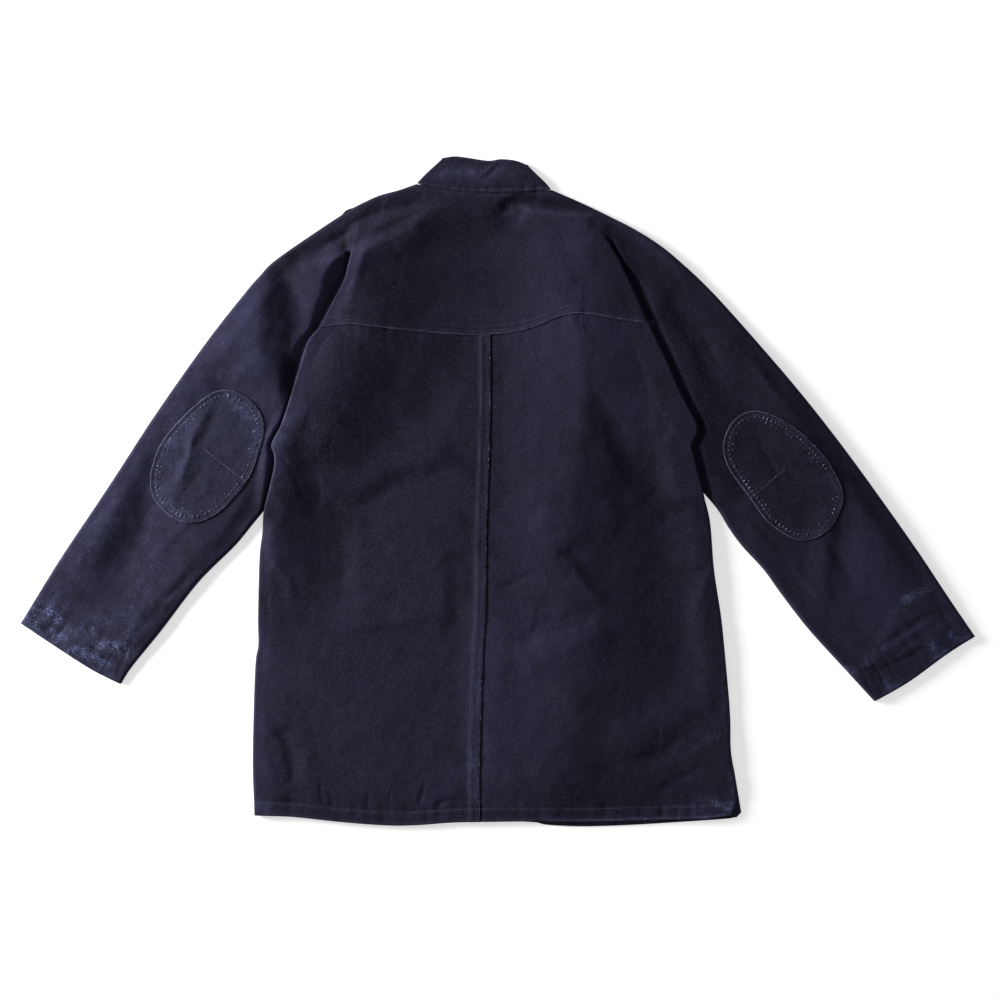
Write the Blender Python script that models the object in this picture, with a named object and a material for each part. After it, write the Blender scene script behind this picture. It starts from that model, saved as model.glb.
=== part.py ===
"""Dotera: a dark indigo cotton work jacket, laid out flat on a surface with its back up.

The two fronts lie flat on the surface. The yoke, cut in one with both sleeves, and the two
halves of the back lie over them as single cloth walls that billow a little between the fronts
and the folds. The body laps over each sleeve in a rounded fold that runs from the shoulder to
the armpit. The collar band is pressed flat over its own front half.

X runs across the garment to the wearer's right, Y from the hem to the collar, Z up.
Tables and sizes are in millimetres; meshes are made in metres.
"""
from collections import namedtuple

import bmesh
import bpy
import numpy as np
from mathutils import Vector
from mathutils.geometry import delaunay_2d_cdt

MM = 0.001

# Cloth and layers
CLOTH = 1.5
SEAM_GAP = 0.3
FRONT_TOP = CLOTH
LOW_OUTER = FRONT_TOP + SEAM_GAP + CLOTH + 0.1
CROWN = 9.0
FOLD_DEPTH = 1.5
EDGE_ROLL = 9.0
EDGE_END = 2.9
EDGE_RISE = 28.0
EDGE_FULL = 1.2
EDGE_FULL_WIDTH = 20.0
CUFF_CALM = 60.0
HEM_CALM = 50.0
NECK_CALM = 40.0

# Fold of the body over each sleeve
POCKET_AIR = 2.4
LAP_UNDER = LOW_OUTER + POCKET_AIR
LAP_WIDTH = 20.0
LAP_FIRST = 4.2
SIDE_TURN = 9.0
LIP_ROUND = 2.6
LIP_RISE = 4.2
LIP_MARGIN = 1.6
LIP_CALM = 46.0
LIP_BLEND = 20.0
LAP_BEFORE = 7.0
LAP_AFTER = 9.0
SLEEVE_FREE = 14.0
TURN_ANGLES = np.radians([48.0, 90.0, 132.0, 180.0])

# Collar, pressed flat
COLLAR_TOP = 5.0
COLLAR_CROWN = 1.6
COLLAR_FOOT = 0.9
COLLAR_PARTS = 15

# Patches
PATCH_CLOTH = 1.2
PATCH_LIFT = 0.45
PATCH_SIDES = 28

# Fronts, kept clear of the collar at the neck
NECK_CLEAR = 3.0
NECK_DROP = 1.2

# Middle of the whole garment in the tables below
MIDDLE = np.array([-0.25, 0.25, 0.0])

# Outline of the garment as it lies, each a short table of x, y
OUTLINE = {
    "outer_left": ((-596, -164), (-546, -83), (-486, 7), (-427.5, 97), (-364, 187), (-315, 249.5),
                   (-297.5, 269.5), (-277.5, 289.5), (-220, 329.5), (-182.5, 353.5)),
    "shoulder_left": ((-182.5, 353.5), (-171, 359.5), (-149, 369.5), (-122.5, 377), (-102.5, 384)),
    "neck_seam": ((-102.5, 384), (-75, 379.5), (-51, 376), (-22.5, 374), (21, 374), (46, 375.5),
                  (67.5, 376.5)),
    "shoulder_right": ((67.5, 376.5), (86, 368.5), (107.5, 359), (127.5, 349.5)),
    "outer_right": ((595.5, -180.5), (560, -128), (520, -68), (456, 22), (411, 82), (362.5, 142),
                    (295, 219.5), (257.5, 259.5), (225, 289.5), (200, 309.5), (167.5, 329.5),
                    (127.5, 349.5)),
    "cuff_left": ((-596, -164), (-562.5, -186.5), (-514, -218), (-489, -231.5), (-471, -240)),
    "cuff_right": ((595.5, -180.5), (560, -203), (519, -233), (495, -248), (470, -261.5)),
    "inner_left": ((-471, -240), (-457.5, -219), (-421, -174), (-374, -113), (-329, -68),
                   (-305, -39), (-292.5, -24)),
    "inner_right": ((470, -261.5), (430, -218), (389, -173), (354, -128), (332.5, -98),
                    (305, -68), (287.5, -44), (275, -23), (256, -0.5)),
    "tuck_left": ((-292.5, -24), (-279, 18), (-266, 60), (-251, 115), (-237, 158), (-221, 191)),
    "tuck_right": ((256, -0.5), (240, 37), (222.5, 89.5), (192.5, 149.5)),
    "lip_left": ((-182.5, 353.5), (-184, 314.5), (-185, 297), (-191, 266), (-205, 238.5),
                 (-223, 204.5)),
    "lip_right": ((127.5, 349.5), (129, 333.5), (142.5, 306), (156, 279.5), (175, 238.5),
                  (188, 210)),
    "side_left": ((-223, 204.5), (-237.5, 186), (-250, 147), (-260, 114.5), (-270, 84.5),
                  (-279, 67), (-282.5, 57), (-279, 46), (-279, 32), (-285, 4.5), (-292, -24),
                  (-294, -53), (-297.5, -83), (-299.5, -158), (-299, -190.5), (-302.5, -213),
                  (-305, -278), (-306, -341.5), (-304, -404)),
    "side_right": ((188, 210), (212.5, 158.5), (231, 117), (246, 89.5), (249, 74.5), (241, 58.5),
                   (245, 43.5), (249.5, 23.5), (256, -0.5), (264, -48), (270, -113), (280.5, -188),
                   (286, -248), (289, -308), (292, -340.5), (297.5, -373), (296, -390.5),
                   (290.5, -404)),
    "yoke_seam_left": ((-223, 204.5), (-186, 208.5), (-161, 206), (-116, 201), (-75, 197.5),
                       (-34, 195), (-9.5, 196)),
    "yoke_seam_right": ((188, 210), (154, 214), (120, 220), (95, 221.5), (72, 216), (56, 209),
                        (33, 201.5), (11, 197.5), (-9.5, 196)),
    "back_seam": ((-9.5, 196), (-9, 121), (-11, 33.5), (-14, -55), (-15, -143), (-18.5, -208),
                  (-21.5, -296), (-23, -361.5), (-22, -412)),
    "hem_left": ((-304, -404), (-270, -405), (-247.5, -406.5), (-197.5, -412), (-137.5, -416.5),
                 (-100, -416), (-60, -413), (-22, -412)),
    "hem_right": ((290.5, -404), (257.5, -408), (219, -409), (161, -410.5), (104, -412),
                  (46, -411.5), (-22, -412)),
    "front_side_right": ((256, -0.5), (265, -38), (270, -98), (279, -158), (285, -218),
                         (290, -278), (291, -323), (296, -353), (301, -383), (304, -400.5)),
    "front_hem_left": ((-301, -402), (-247.5, -404), (-137.5, -412), (-22.5, -410)),
    "front_hem_right": ((304, -400.5), (300, -406), (280, -409), (220, -413), (160, -416.5),
                        (102.5, -418), (60, -416), (46, -413), (-21.5, -410)),
    "collar_top": ((-69, 416.5), (-54, 418.5), (-40, 417), (-12.5, 413), (4, 415), (22.5, 413),
                   (37.5, 407)),
    "collar_end_left": ((-101, 385.5), (-90, 397), (-77.5, 408.5), (-69, 416.5)),
    "collar_end_right": ((66, 378), (58.5, 386.5), (46, 398.5), (37.5, 407)),
    "patch_left": ((-335.5, 127), (-306.5, 112.5), (-291.5, 84), (-297.5, 49.5), (-314, 11),
                   (-347.5, -25.5), (-379.5, -39), (-408, -31), (-431.5, -4), (-431, 32.5),
                   (-412.5, 71), (-366, 117)),
    "patch_right": ((320, 101), (354, 89.5), (387.5, 64.5), (415, 31), (429.5, -8), (412.5, -46.5),
                    (377.5, -61), (339, -40.5), (314, -8), (286, 32), (281, 62), (294.5, 89.5)),
}

# Largest folds: a ridge (height above 0) or a trough (below 0) along a short path. The widths
# are how far it spreads to the left and to the right of the path, looking along it.
Fold = namedtuple("Fold", "name height left right path")

FOLDS = (
    Fold("left shoulder hollow", -2.5, 13, 12, ((-72, 370), (-136, 356), (-195, 323), (-247, 292))),
    Fold("left shoulder ridge", 3.4, 34, 14, ((-70, 350), (-116, 328), (-164, 305), (-222, 281),
                                              (-262, 267))),
    Fold("left sleeve crest", 5.2, 38, 60, ((-284, 288), (-297, 262), (-300, 235), (-297, 205),
                                            (-292, 180), (-285, 155), (-274, 130))),
    Fold("left sleeve valley", -1.8, 16, 22, ((-272, 282), (-264, 252), (-252, 222), (-246, 196))),
    Fold("left inner crest", 1.9, 14, 26, ((-194, 314), (-202, 285), (-212, 260), (-225, 238),
                                           (-237, 214))),
    Fold("left outer ridge", 3.0, 45, 25, ((-310, 240), (-398, 115), (-485, -17), (-548, -110))),
    Fold("left forearm hollow", -3.0, 38, 38, ((-375, 150), (-435, 27), (-448, -60), (-488, -135))),
    Fold("left underarm ridge", 1.4, 18, 45, ((-295, 27), (-354, -67), (-435, -167), (-473, -210))),
    Fold("left elbow ridge", 0.9, 16, 13, ((-361, 108), (-376, 71), (-385, 37), (-398, 8))),
    Fold("right lip ridge", 0.9, 24, 17, ((190, 287), (205, 226), (229, 182), (254, 125))),
    Fold("right sleeve trough", -0.6, 40, 20, ((214, 292), (228, 226), (251, 182), (269, 115),
                                               (280, 65))),
    Fold("right shoulder ridge", 2.0, 18, 12, ((141, 337), (193, 311), (240, 265))),
    Fold("right sleeve crown", 3.5, 60, 55, ((277, 202), (365, 90), (440, -10), (515, -123))),
    Fold("right forearm fold", 1.4, 17, 28, ((402, -10), (410, -85), (405, -148))),
    Fold("right forearm trough", -1.0, 18, 31, ((434, -35), (435, -135))),
    Fold("right underarm ridge", 2.0, 31, 13, ((290, -48), (365, -148), (440, -235))),
    Fold("yoke left ridge", 5.2, 150, 24, ((-152, 334), (-163, 300), (-176, 264), (-190, 230),
                                           (-206, 198))),
    Fold("yoke right ridge", 5.0, 96, 112, ((98, 346), (104, 300), (108, 250), (110, 205),
                                            (111, 160), (111, 118))),
    Fold("back right crest", 5.0, 72, 112, ((111, 172), (114, 130), (113, 92), (106, 56), (97, 20),
                                            (88, -20), (78, -60), (70, -88))),
    Fold("back left ridge", 4.5, 78, 36, ((-192, 200), (-203, 140), (-212, 80), (-216, 30))),
    Fold("left lip ridge", 4.5, 62, 20, ((-262, 95), (-274, 60), (-282, 5), (-284, -60),
                                         (-284, -120))),
    Fold("left flank trough", -2.4, 28, 70, ((-204, 20), (-202, -30), (-196, -70), (-192, -115),
                                             (-208, -170))),
    Fold("left drag ridge", 2.3, 50, 22, ((-192, -6), (-172, 8), (-148, 22), (-122, 35),
                                          (-92, 46), (-56, 58))),
    Fold("left bay foot", 0.8, 30, 12, ((-185, -160), (-150, -163), (-110, -160), (-62, -148))),
    Fold("centre trough", -1.4, 36, 20, ((-54, -66), (-54, -110), (-54, -150), (-58, -190))),
    Fold("left hip drag", 1.2, 20, 30, ((-295, -196), (-262, -214), (-225, -240), (-180, -262))),
    Fold("left hem trough", -1.8, 20, 30, ((-276, -292), (-262, -330), (-248, -372))),
    Fold("right wedge", -1.4, 24, 24, ((124, 134), (136, 100), (150, 66), (167, 32), (184, 0))),
    Fold("back right trough", -3.4, 44, 84, ((170, 60), (196, 10), (210, -40), (218, -100),
                                             (220, -190), (208, -265))),
    Fold("back right ridge", 2.5, 60, 60, ((75, -80), (92, -150), (92, -230), (84, -320))),
    Fold("right side ridge", 1.1, 30, 60, ((178, 177), (214, 102), (234, 50), (246, -35),
                                           (253, -135), (260, -235))),
    Fold("right bay edge", 0.8, 14, 24, ((70, -66), (92, -92), (116, -118), (140, -142))),
    Fold("right bay foot", 1.3, 22, 42, ((20, -214), (62, -203), (102, -185), (140, -158))),
    Fold("right bay line", -0.7, 18, 18, ((26, -190), (62, -178), (100, -156), (134, -134))),
    Fold("right hem ridge", 1.2, 40, 30, ((130, -316), (180, -296), (235, -268), (284, -236))),
    Fold("right hem trough", -1.0, 30, 30, ((120, -350), (170, -338), (225, -318), (270, -290))),
    Fold("right skirt trough", -1.2, 40, 70, ((138, -290), (140, -345), (130, -400))),
    Fold("neck fold", -4.2, 12, 12, ((4, 350), (16, 361), (36, 367), (76, 359), (118, 352))),
    Fold("neck ridge", 3.8, 10, 32, ((28, 357), (50, 349), (92, 342), (130, 339))),
)

# Colour, roughness of each piece
Cloth = namedtuple("Cloth", "name colour roughness")
INDIGO = Cloth("indigo_cotton", (0.024, 0.021, 0.041), 0.9)
PATCH_INDIGO = Cloth("patch_cotton", (0.027, 0.026, 0.047), 0.9)

# How finely each piece is divided
SLEEVE_STEPS = 29
SLEEVE_ROWS = (0.0, 0.008, 0.028, 0.062, 0.13, 0.20, 0.265, 0.33, 0.39, 0.445, 0.51, 0.60, 0.70,
               0.80, 0.90, 0.96, 0.99, 1.0)
BACK_ROWS = 26
BACK_STEPS = 13
COLLAR_ROWS = 5
FRONT_STEP = 20.0
SHARP = np.radians(48.0)


def rail(*names):
    """A dense line through one or more outline tables, joined end to end, with its lengths."""
    runs = []
    for name in names:
        points = np.array(OUTLINE[name], dtype=float)
        ends = np.vstack([2 * points[0] - points[1], points, 2 * points[-1] - points[-2]])
        for a, b, c, d in zip(ends[:-3], ends[1:-2], ends[2:-1], ends[3:]):
            t = np.linspace(0.0, 1.0, 12, endpoint=False)[:, None]
            runs.append(0.5 * (2 * b + (c - a) * t + (2 * a - 5 * b + 4 * c - d) * t**2
                               + (3 * b - a - 3 * c + d) * t**3))
    return np.vstack(runs + [points[-1][None, :]])


def along(line, t):
    """Points at the fractions t of a line's length."""
    steps = np.hypot(*np.diff(line, axis=0).T)
    length = np.concatenate([[0.0], np.cumsum(steps)])
    t = np.asarray(t) * length[-1]
    return np.stack([np.interp(t, length, line[:, 0]), np.interp(t, length, line[:, 1])], axis=-1)


def share(line, corner):
    """Fraction of a line's length at its point nearest to a corner."""
    steps = np.hypot(*np.diff(line, axis=0).T)
    length = np.concatenate([[0.0], np.cumsum(steps)])
    nearest = np.argmin(np.hypot(*(line - np.array(corner)).T))
    return length[nearest] / length[-1]


def stretch(low, high, start, end, at, v):
    """Grid of plan points between four rails.

    The columns lie at the fractions at of low and high, and the rows at the fractions v of start
    and end.
    """
    a = along(low, at)[:, None, :]
    b = along(high, at)[:, None, :]
    c = along(start, v)[None, :, :]
    d = along(end, v)[None, :, :]
    s = np.asarray(at)[:, None, None]
    t = np.asarray(v)[None, :, None]
    corners = ((1 - s) * (1 - t) * a[0] + s * (1 - t) * a[-1] + (1 - s) * t * b[0]
               + s * t * b[-1])
    return (1 - t) * a + t * b + (1 - s) * c + s * d - corners


def ease(x):
    """Smooth step from 0 to 1."""
    x = np.clip(x, 0.0, 1.0)
    return x * x * (3.0 - 2.0 * x)


def nearness(plan, line):
    """Distance to a line, side of it (1 on its left) and the fraction of it passed."""
    a, b = line[:-1], line[1:]
    step = b - a
    size = np.maximum((step**2).sum(axis=1), 1e-9)
    off = plan[..., None, :] - a
    t = np.clip((off * step).sum(axis=-1) / size, 0.0, 1.0)
    gap = off - t[..., None] * step
    dist = np.hypot(gap[..., 0], gap[..., 1])
    k = dist.argmin(axis=-1)
    pick = np.take_along_axis
    dist = pick(dist, k[..., None], -1)[..., 0]
    side = step[..., 0] * off[..., 1] - step[..., 1] * off[..., 0]
    side = np.sign(pick(side, k[..., None], -1)[..., 0])
    passed = (k + pick(t, k[..., None], -1)[..., 0]) / len(a)
    return dist, side, passed


def bend(path, per=5):
    """A smooth line through a fold's few points."""
    points = np.array(path, dtype=float)
    ends = np.vstack([2 * points[0] - points[1], points, 2 * points[-1] - points[-2]])
    runs = []
    for a, b, c, d in zip(ends[:-3], ends[1:-2], ends[2:-1], ends[3:]):
        t = np.linspace(0.0, 1.0, per, endpoint=False)[:, None]
        runs.append(0.5 * (2 * b + (c - a) * t + (2 * a - 5 * b + 4 * c - d) * t**2
                           + (3 * b - a - 3 * c + d) * t**3))
    return np.vstack(runs + [points[-1][None, :]])


def fold_sum(plan, folds=FOLDS):
    """Height that all folds together add at each plan point."""
    total = np.zeros(plan.shape[:-1])
    for fold in folds:
        dist, side, passed = nearness(plan, bend(fold.path))
        width = np.where(side > 0, fold.left, fold.right)
        shape = 0.5 + 0.5 * np.cos(np.pi * np.clip(dist / width, 0.0, 1.0))
        fade = ease(passed / 0.2) * ease((1.0 - passed) / 0.2)
        total += fold.height * shape * (0.25 + 0.75 * fade)
    return total


SILHOUETTES = (rail("outer_left", "shoulder_left"), rail("outer_right"), rail("shoulder_right"),
               rail("inner_left"), rail("inner_right"))
LIPS = {-1: rail("lip_left", "side_left"), 1: rail("lip_right", "side_right")}
ARMPIT_Y = {-1: -24.0, 1: -0.5}
SHOULDER_Y = {-1: 353.5, 1: 349.5}
LAP_START_Y = {-1: 320.0, 1: 326.0}
LAP_FULL_Y = {-1: 276.0, 1: 292.0}


def lip_outside(plan, side):
    """How far a point lies outside the edge of the body on one side, measured along X."""
    line = LIPS[side][::-1]
    edge = np.interp(plan[..., 1], line[:, 1], line[:, 0])
    return side * (plan[..., 0] - edge)


def lapped(y, side):
    """1 where the body laps over the sleeve, 0 at the shoulder."""
    return ease((LAP_START_Y[side] - y) / (LAP_START_Y[side] - LAP_FULL_Y[side]))


def stepped(y, side):
    """1 where the body stands a full step above the sleeve, 0 at the shoulder."""
    return ease((SHOULDER_Y[side] - y) / (SHOULDER_Y[side] - LAP_START_Y[side]))


def above_armpit(y, side):
    """1 above the armpit, 0 a little below it."""
    return ease((y - ARMPIT_Y[side] + 34.0) / 30.0)


def open_height(plan):
    """Upper face of the cloth before it is pressed down anywhere: crown, folds and edges."""
    rise = CROWN - LOW_OUTER + FOLD_DEPTH * fold_sum(plan)
    rise = np.maximum(rise, 0.35 * rise)
    edge = np.full(plan.shape[:-1], 1e9)
    for line in SILHOUETTES:
        edge = np.minimum(edge, nearness(plan, line)[0])
    cuffs = np.minimum(nearness(plan, rail("cuff_left"))[0], nearness(plan, rail("cuff_right"))[0])
    hem = np.minimum(nearness(plan, rail("hem_left"))[0], nearness(plan, rail("hem_right"))[0])
    neck = nearness(plan, rail("neck_seam"))[0]
    calm = 0.35 + 0.65 * ease(edge / EDGE_RISE)
    calm = calm * (0.3 + 0.7 * ease(cuffs / CUFF_CALM)) * (0.35 + 0.65 * ease(hem / HEM_CALM))
    calm = calm * (0.45 + 0.55 * ease(neck / NECK_CALM))
    height = np.maximum(LOW_OUTER + rise * calm, LOW_OUTER)
    roll = np.sqrt(np.clip(1.0 - (1.0 - np.clip(edge / EDGE_ROLL, 0.0, 1.0))**2, 0.0, 1.0))
    full = EDGE_FULL * (1.0 - ease(edge / EDGE_FULL_WIDTH))
    return EDGE_END + (height + full - EDGE_END) * roll


def body_height(plan):
    """Upper face of the yoke and the back, kept clear of the cloth turned under its sides."""
    height = open_height(plan)
    for side in (-1, 1):
        inside = -lip_outside(plan, side)
        y = plan[..., 1]
        under = CLOTH + SEAM_GAP + (LAP_UNDER - CLOTH - SEAM_GAP) * above_armpit(y, side)
        floor = under + LIP_RISE + LIP_MARGIN * above_armpit(y, side)
        near = ease((LIP_CALM - inside) / LIP_BLEND) * stepped(y, side)
        need = floor * near + LOW_OUTER * (1.0 - near)
        gain = height - need
        height = need + 0.5 * (gain + np.sqrt(gain**2 + 1.5 * near))
    return height


def sleeve_height(plan):
    """Upper face of the sleeves, pressed down beside and under the body's folds."""
    height = open_height(plan)
    for side, slope, flat in ((-1, 0.42, 3.0), (1, 0.40, 9.0)):
        outside = lip_outside(plan, side)
        y = plan[..., 1]
        cap = LOW_OUTER + slope * np.maximum(outside - flat, 0.0)
        free = 1.0 - stepped(y, side) + ease((ARMPIT_Y[side] - y) / 30.0)
        cap = cap + SLEEVE_FREE * free
        excess = height - cap
        height = np.where(side * plan[..., 0] > 0,
                          height - 0.5 * (excess + np.sqrt(excess**2 + 0.6)), height)
    return np.maximum(height, np.minimum(open_height(plan), LOW_OUTER))


def solid(plan, height):
    """Grid of 3-D points from a grid of plan points and their heights."""
    return np.concatenate([plan, height[..., None]], axis=-1)


def seam_points(side):
    """Points of the yoke seam on one side, from the centre out to the round of the fold."""
    hand = "left" if side < 0 else "right"
    corner = np.array(OUTLINE[f"side_{hand}"][0]) - np.array([side * LIP_ROUND, 0.0])
    line = rail(f"yoke_seam_{hand}")
    line = np.vstack([corner[None, :], line[side * (corner[0] - line[:, 0]) > 1.0]])
    line[-1, 0] += side * SEAM_GAP / 2.0
    return along(line[::-1], np.linspace(0.0, 1.0, BACK_STEPS))


def yoke_seam_y(x):
    """Height up the back of the yoke seam at x, straight between the back's points on it."""
    line = np.vstack([seam_points(-1)[::-1], seam_points(1)])
    return np.interp(x, line[:, 0], line[:, 1])


def lap_columns(lip, slope, rows_y, side):
    """Columns of the fold between a sleeve and the yoke, from the sleeve to the yoke.

    lip holds the fold's outermost points, one for each row; slope is how much each row rises
    for each millimetre towards the centre.
    """
    amount = lapped(rows_y, side)
    overlap = LAP_FIRST + (LAP_WIDTH - LAP_FIRST) * ease((LAP_FULL_Y[side] - rows_y) / 80.0)
    turn_in = np.radians([-90.0, -45.0, 0.0, 45.0, 90.0])
    turn_out = np.radians([-90.0, -130.0, -180.0, -230.0, -270.0])
    start = lip.copy()
    depth = (1 - amount) * -LAP_BEFORE + amount * (overlap - LIP_MARGIN)
    start[:, 0] -= side * depth
    start[:, 1] += slope * depth
    low = sleeve_height(start[:, None, :])[:, 0]
    finish = lip.copy()
    finish[:, 0] -= side * LAP_AFTER
    finish[:, 1] += slope * LAP_AFTER
    high = body_height(finish[:, None, :])[:, 0]
    pocket = np.minimum(POCKET_AIR, 0.4 * np.maximum(high - low, 0.0)) / 2.0
    across, up = [], []
    for angle in turn_in:
        across.append(overlap + pocket * np.cos(angle))
        up.append(low + pocket + pocket * np.sin(angle))
    middle = low + 2.0 * pocket
    for part in (0.66, 0.33):
        across.append(LIP_ROUND + (overlap - LIP_ROUND) * part)
        up.append(middle)
    tall = (high - middle) / 2.0
    for angle in turn_out:
        across.append(LIP_ROUND + LIP_ROUND * np.cos(angle))
        up.append(middle + tall + tall * np.sin(angle))
    count = len(across) + 2
    columns = []
    for k in range(1, count - 1):
        plain_x = -LAP_BEFORE + (LAP_BEFORE + LAP_AFTER) * k / (count - 1)
        plain_z = low + (high - low) * k / (count - 1)
        x = (1 - amount) * plain_x + amount * across[k - 1]
        z = (1 - amount) * plain_z + amount * up[k - 1]
        columns.append(np.stack([lip[:, 0] - side * x, lip[:, 1] + slope * x, z], axis=-1))
    first = np.stack([start[:, 0], start[:, 1], low], axis=-1)
    final = np.stack([finish[:, 0], finish[:, 1], high], axis=-1)
    columns = [first] + columns + [final]
    for column in columns:
        column[-1, 1] = yoke_seam_y(column[-1, 0]) + SEAM_GAP
    return columns


def surface(grid):
    """Triangles through a grid of points, facing up; each vertex keeps its place in the grid."""
    columns, rows = grid.shape[0], grid.shape[1]
    made = bmesh.new()
    bmesh.ops.create_grid(made, x_segments=columns - 1, y_segments=rows - 1, size=0.5)
    place = made.verts.layers.int.new("place")
    for vert in made.verts:
        i = round((vert.co.x + 0.5) * (columns - 1))
        j = round((vert.co.y + 0.5) * (rows - 1))
        vert[place] = i * rows + j
        vert.co = Vector((grid[i, j] - MIDDLE) * MM)
    bmesh.ops.triangulate(made, faces=made.faces)
    made.normal_update()
    if sum(face.normal.z * face.calc_area() for face in made.faces) < 0:
        bmesh.ops.reverse_faces(made, faces=made.faces)
    return made


def inner_face(grid):
    """Inner face of the cloth whose outer face is the grid."""
    normal = np.cross(np.gradient(grid, axis=0), np.gradient(grid, axis=1))
    normal /= np.maximum(np.linalg.norm(normal, axis=-1, keepdims=True), 1e-9)
    normal[1:-1] = 0.25 * normal[:-2] + 0.5 * normal[1:-1] + 0.25 * normal[2:]
    normal[:, 1:-1] = 0.25 * normal[:, :-2] + 0.5 * normal[:, 1:-1] + 0.25 * normal[:, 2:]
    normal /= np.maximum(np.linalg.norm(normal, axis=-1, keepdims=True), 1e-9)
    if normal[..., 2].mean() < 0:
        normal = -normal
    return grid - CLOTH * normal


def sheet(name, grid, inner):
    """Closed piece of cloth between its outer and its inner face."""
    made = surface(grid)
    rows = grid.shape[1]
    place = made.verts.layers.int["place"]
    bmesh.ops.extrude_face_region(made, geom=made.faces[:])
    seen = set()
    for vert in made.verts:
        i, j = divmod(vert[place], rows)
        if (i, j) in seen:
            vert.co = Vector((inner[i, j] - MIDDLE) * MM)
        seen.add((i, j))
    return linked(name, made, INDIGO)


def linked(name, made, cloth):
    """Object from a bmesh, in the scene, with its material; frees the bmesh."""
    bmesh.ops.triangulate(made, faces=made.faces[:])
    bmesh.ops.recalc_face_normals(made, faces=made.faces[:])
    mesh = bpy.data.meshes.new(name)
    made.to_mesh(mesh)
    made.free()
    mesh.shade_smooth()
    mesh.set_sharp_from_angle(angle=SHARP)
    made_object = bpy.data.objects.new(name, mesh)
    bpy.context.collection.objects.link(made_object)
    mesh.materials.append(material(cloth))
    return made_object


def material(cloth):
    """The cloth's material, made once."""
    found = bpy.data.materials.get(cloth.name)
    if found:
        return found
    made = bpy.data.materials.new(cloth.name)
    made.use_nodes = True
    shader = made.node_tree.nodes["Principled BSDF"]
    shader.inputs["Base Color"].default_value = (*cloth.colour, 1.0)
    shader.inputs["Roughness"].default_value = cloth.roughness
    shader.inputs["Metallic"].default_value = 0.0
    return made


def sleeve_columns(side, rows, lip_start):
    """Sleeve from its cuff to the deep line of the fold, as a grid of columns."""
    hand = "left" if side < 0 else "right"
    outer = rail(f"outer_{hand}")
    outer = outer[np.hypot(*(outer - lip_start[0]).T) > LAP_AFTER]
    outer = np.vstack([outer, lip_start[0][None, :]])
    inner = np.vstack([rail(f"inner_{hand}", f"tuck_{hand}"), lip_start[-1][None, :]])
    at = 1.0 - (1.0 - np.linspace(0.0, 1.0, SLEEVE_STEPS)) ** 1.15
    plan = stretch(outer, inner, rail(f"cuff_{hand}"), lip_start, at, rows)
    return solid(plan, sleeve_height(plan))


def make_yoke_and_sleeves():
    """Back yoke in one with both sleeves: sleeve, fold, yoke, fold, sleeve."""
    rows = np.array(SLEEVE_ROWS)
    laps, sleeves = {}, {}
    seam_slope = {-1: 0.1, 1: 0.17}
    shoulder_slope = {-1: 0.52, 1: 0.48}
    for side in (-1, 1):
        hand = "left" if side < 0 else "right"
        lip = along(rail(f"lip_{hand}"), rows)
        slope = shoulder_slope[side] + (seam_slope[side] - shoulder_slope[side]) * rows
        laps[side] = lap_columns(lip, slope, lip[:, 1], side)
        sleeves[side] = sleeve_columns(side, rows, laps[side][0][:, :2])
    top = rail("shoulder_left", "neck_seam")[:-1]
    top = np.vstack([top, rail("shoulder_right")])
    first, last = laps[-1][-1], laps[1][-1]
    keep = (top[:, 0] > first[0, 0] + 1.0) & (top[:, 0] < last[0, 0] - 1.0)
    top = np.vstack([first[0, :2], top[keep], last[0, :2]])
    seam = np.vstack([seam_points(-1)[::-1], seam_points(1)]) + np.array([0.0, SEAM_GAP])
    keep = (seam[:, 0] > first[-1, 0] + 3.0) & (seam[:, 0] < last[-1, 0] - 3.0)
    seam = np.vstack([first[-1, :2], seam[keep], last[-1, :2]])
    at = [share(top, OUTLINE["neck_seam"][0]), share(top, OUTLINE["neck_seam"][-1])]
    at = np.sort(np.array(at + [share(seam, point) for point in seam]))
    at = at[np.concatenate([[True], np.diff(at) > 0.002])]
    plan = stretch(top, seam, first[:, :2], last[:, :2], at, rows)
    yoke = solid(plan, body_height(plan))
    grid = np.concatenate([sleeves[-1][:-1], np.stack(laps[-1]), yoke[1:-1],
                           np.stack(laps[1])[::-1], sleeves[1][:-1][::-1]])
    inner = inner_face(grid)
    inner[..., 2] = np.maximum(inner[..., 2], FRONT_TOP + SEAM_GAP)
    seam = slice(SLEEVE_STEPS - 1, len(grid) - SLEEVE_STEPS + 1)
    inner[seam, -1, 1] = yoke_seam_y(inner[seam, -1, 0]) + SEAM_GAP
    low, high = OUTLINE["neck_seam"][0][0], OUTLINE["neck_seam"][-1][0]
    neck = (grid[:, 0, 0] > low) & (grid[:, 0, 0] < high)
    inner[neck, 0, :2] = grid[neck, 0, :2]
    sheet("yoke_and_sleeves", grid, inner)
    return grid


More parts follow.
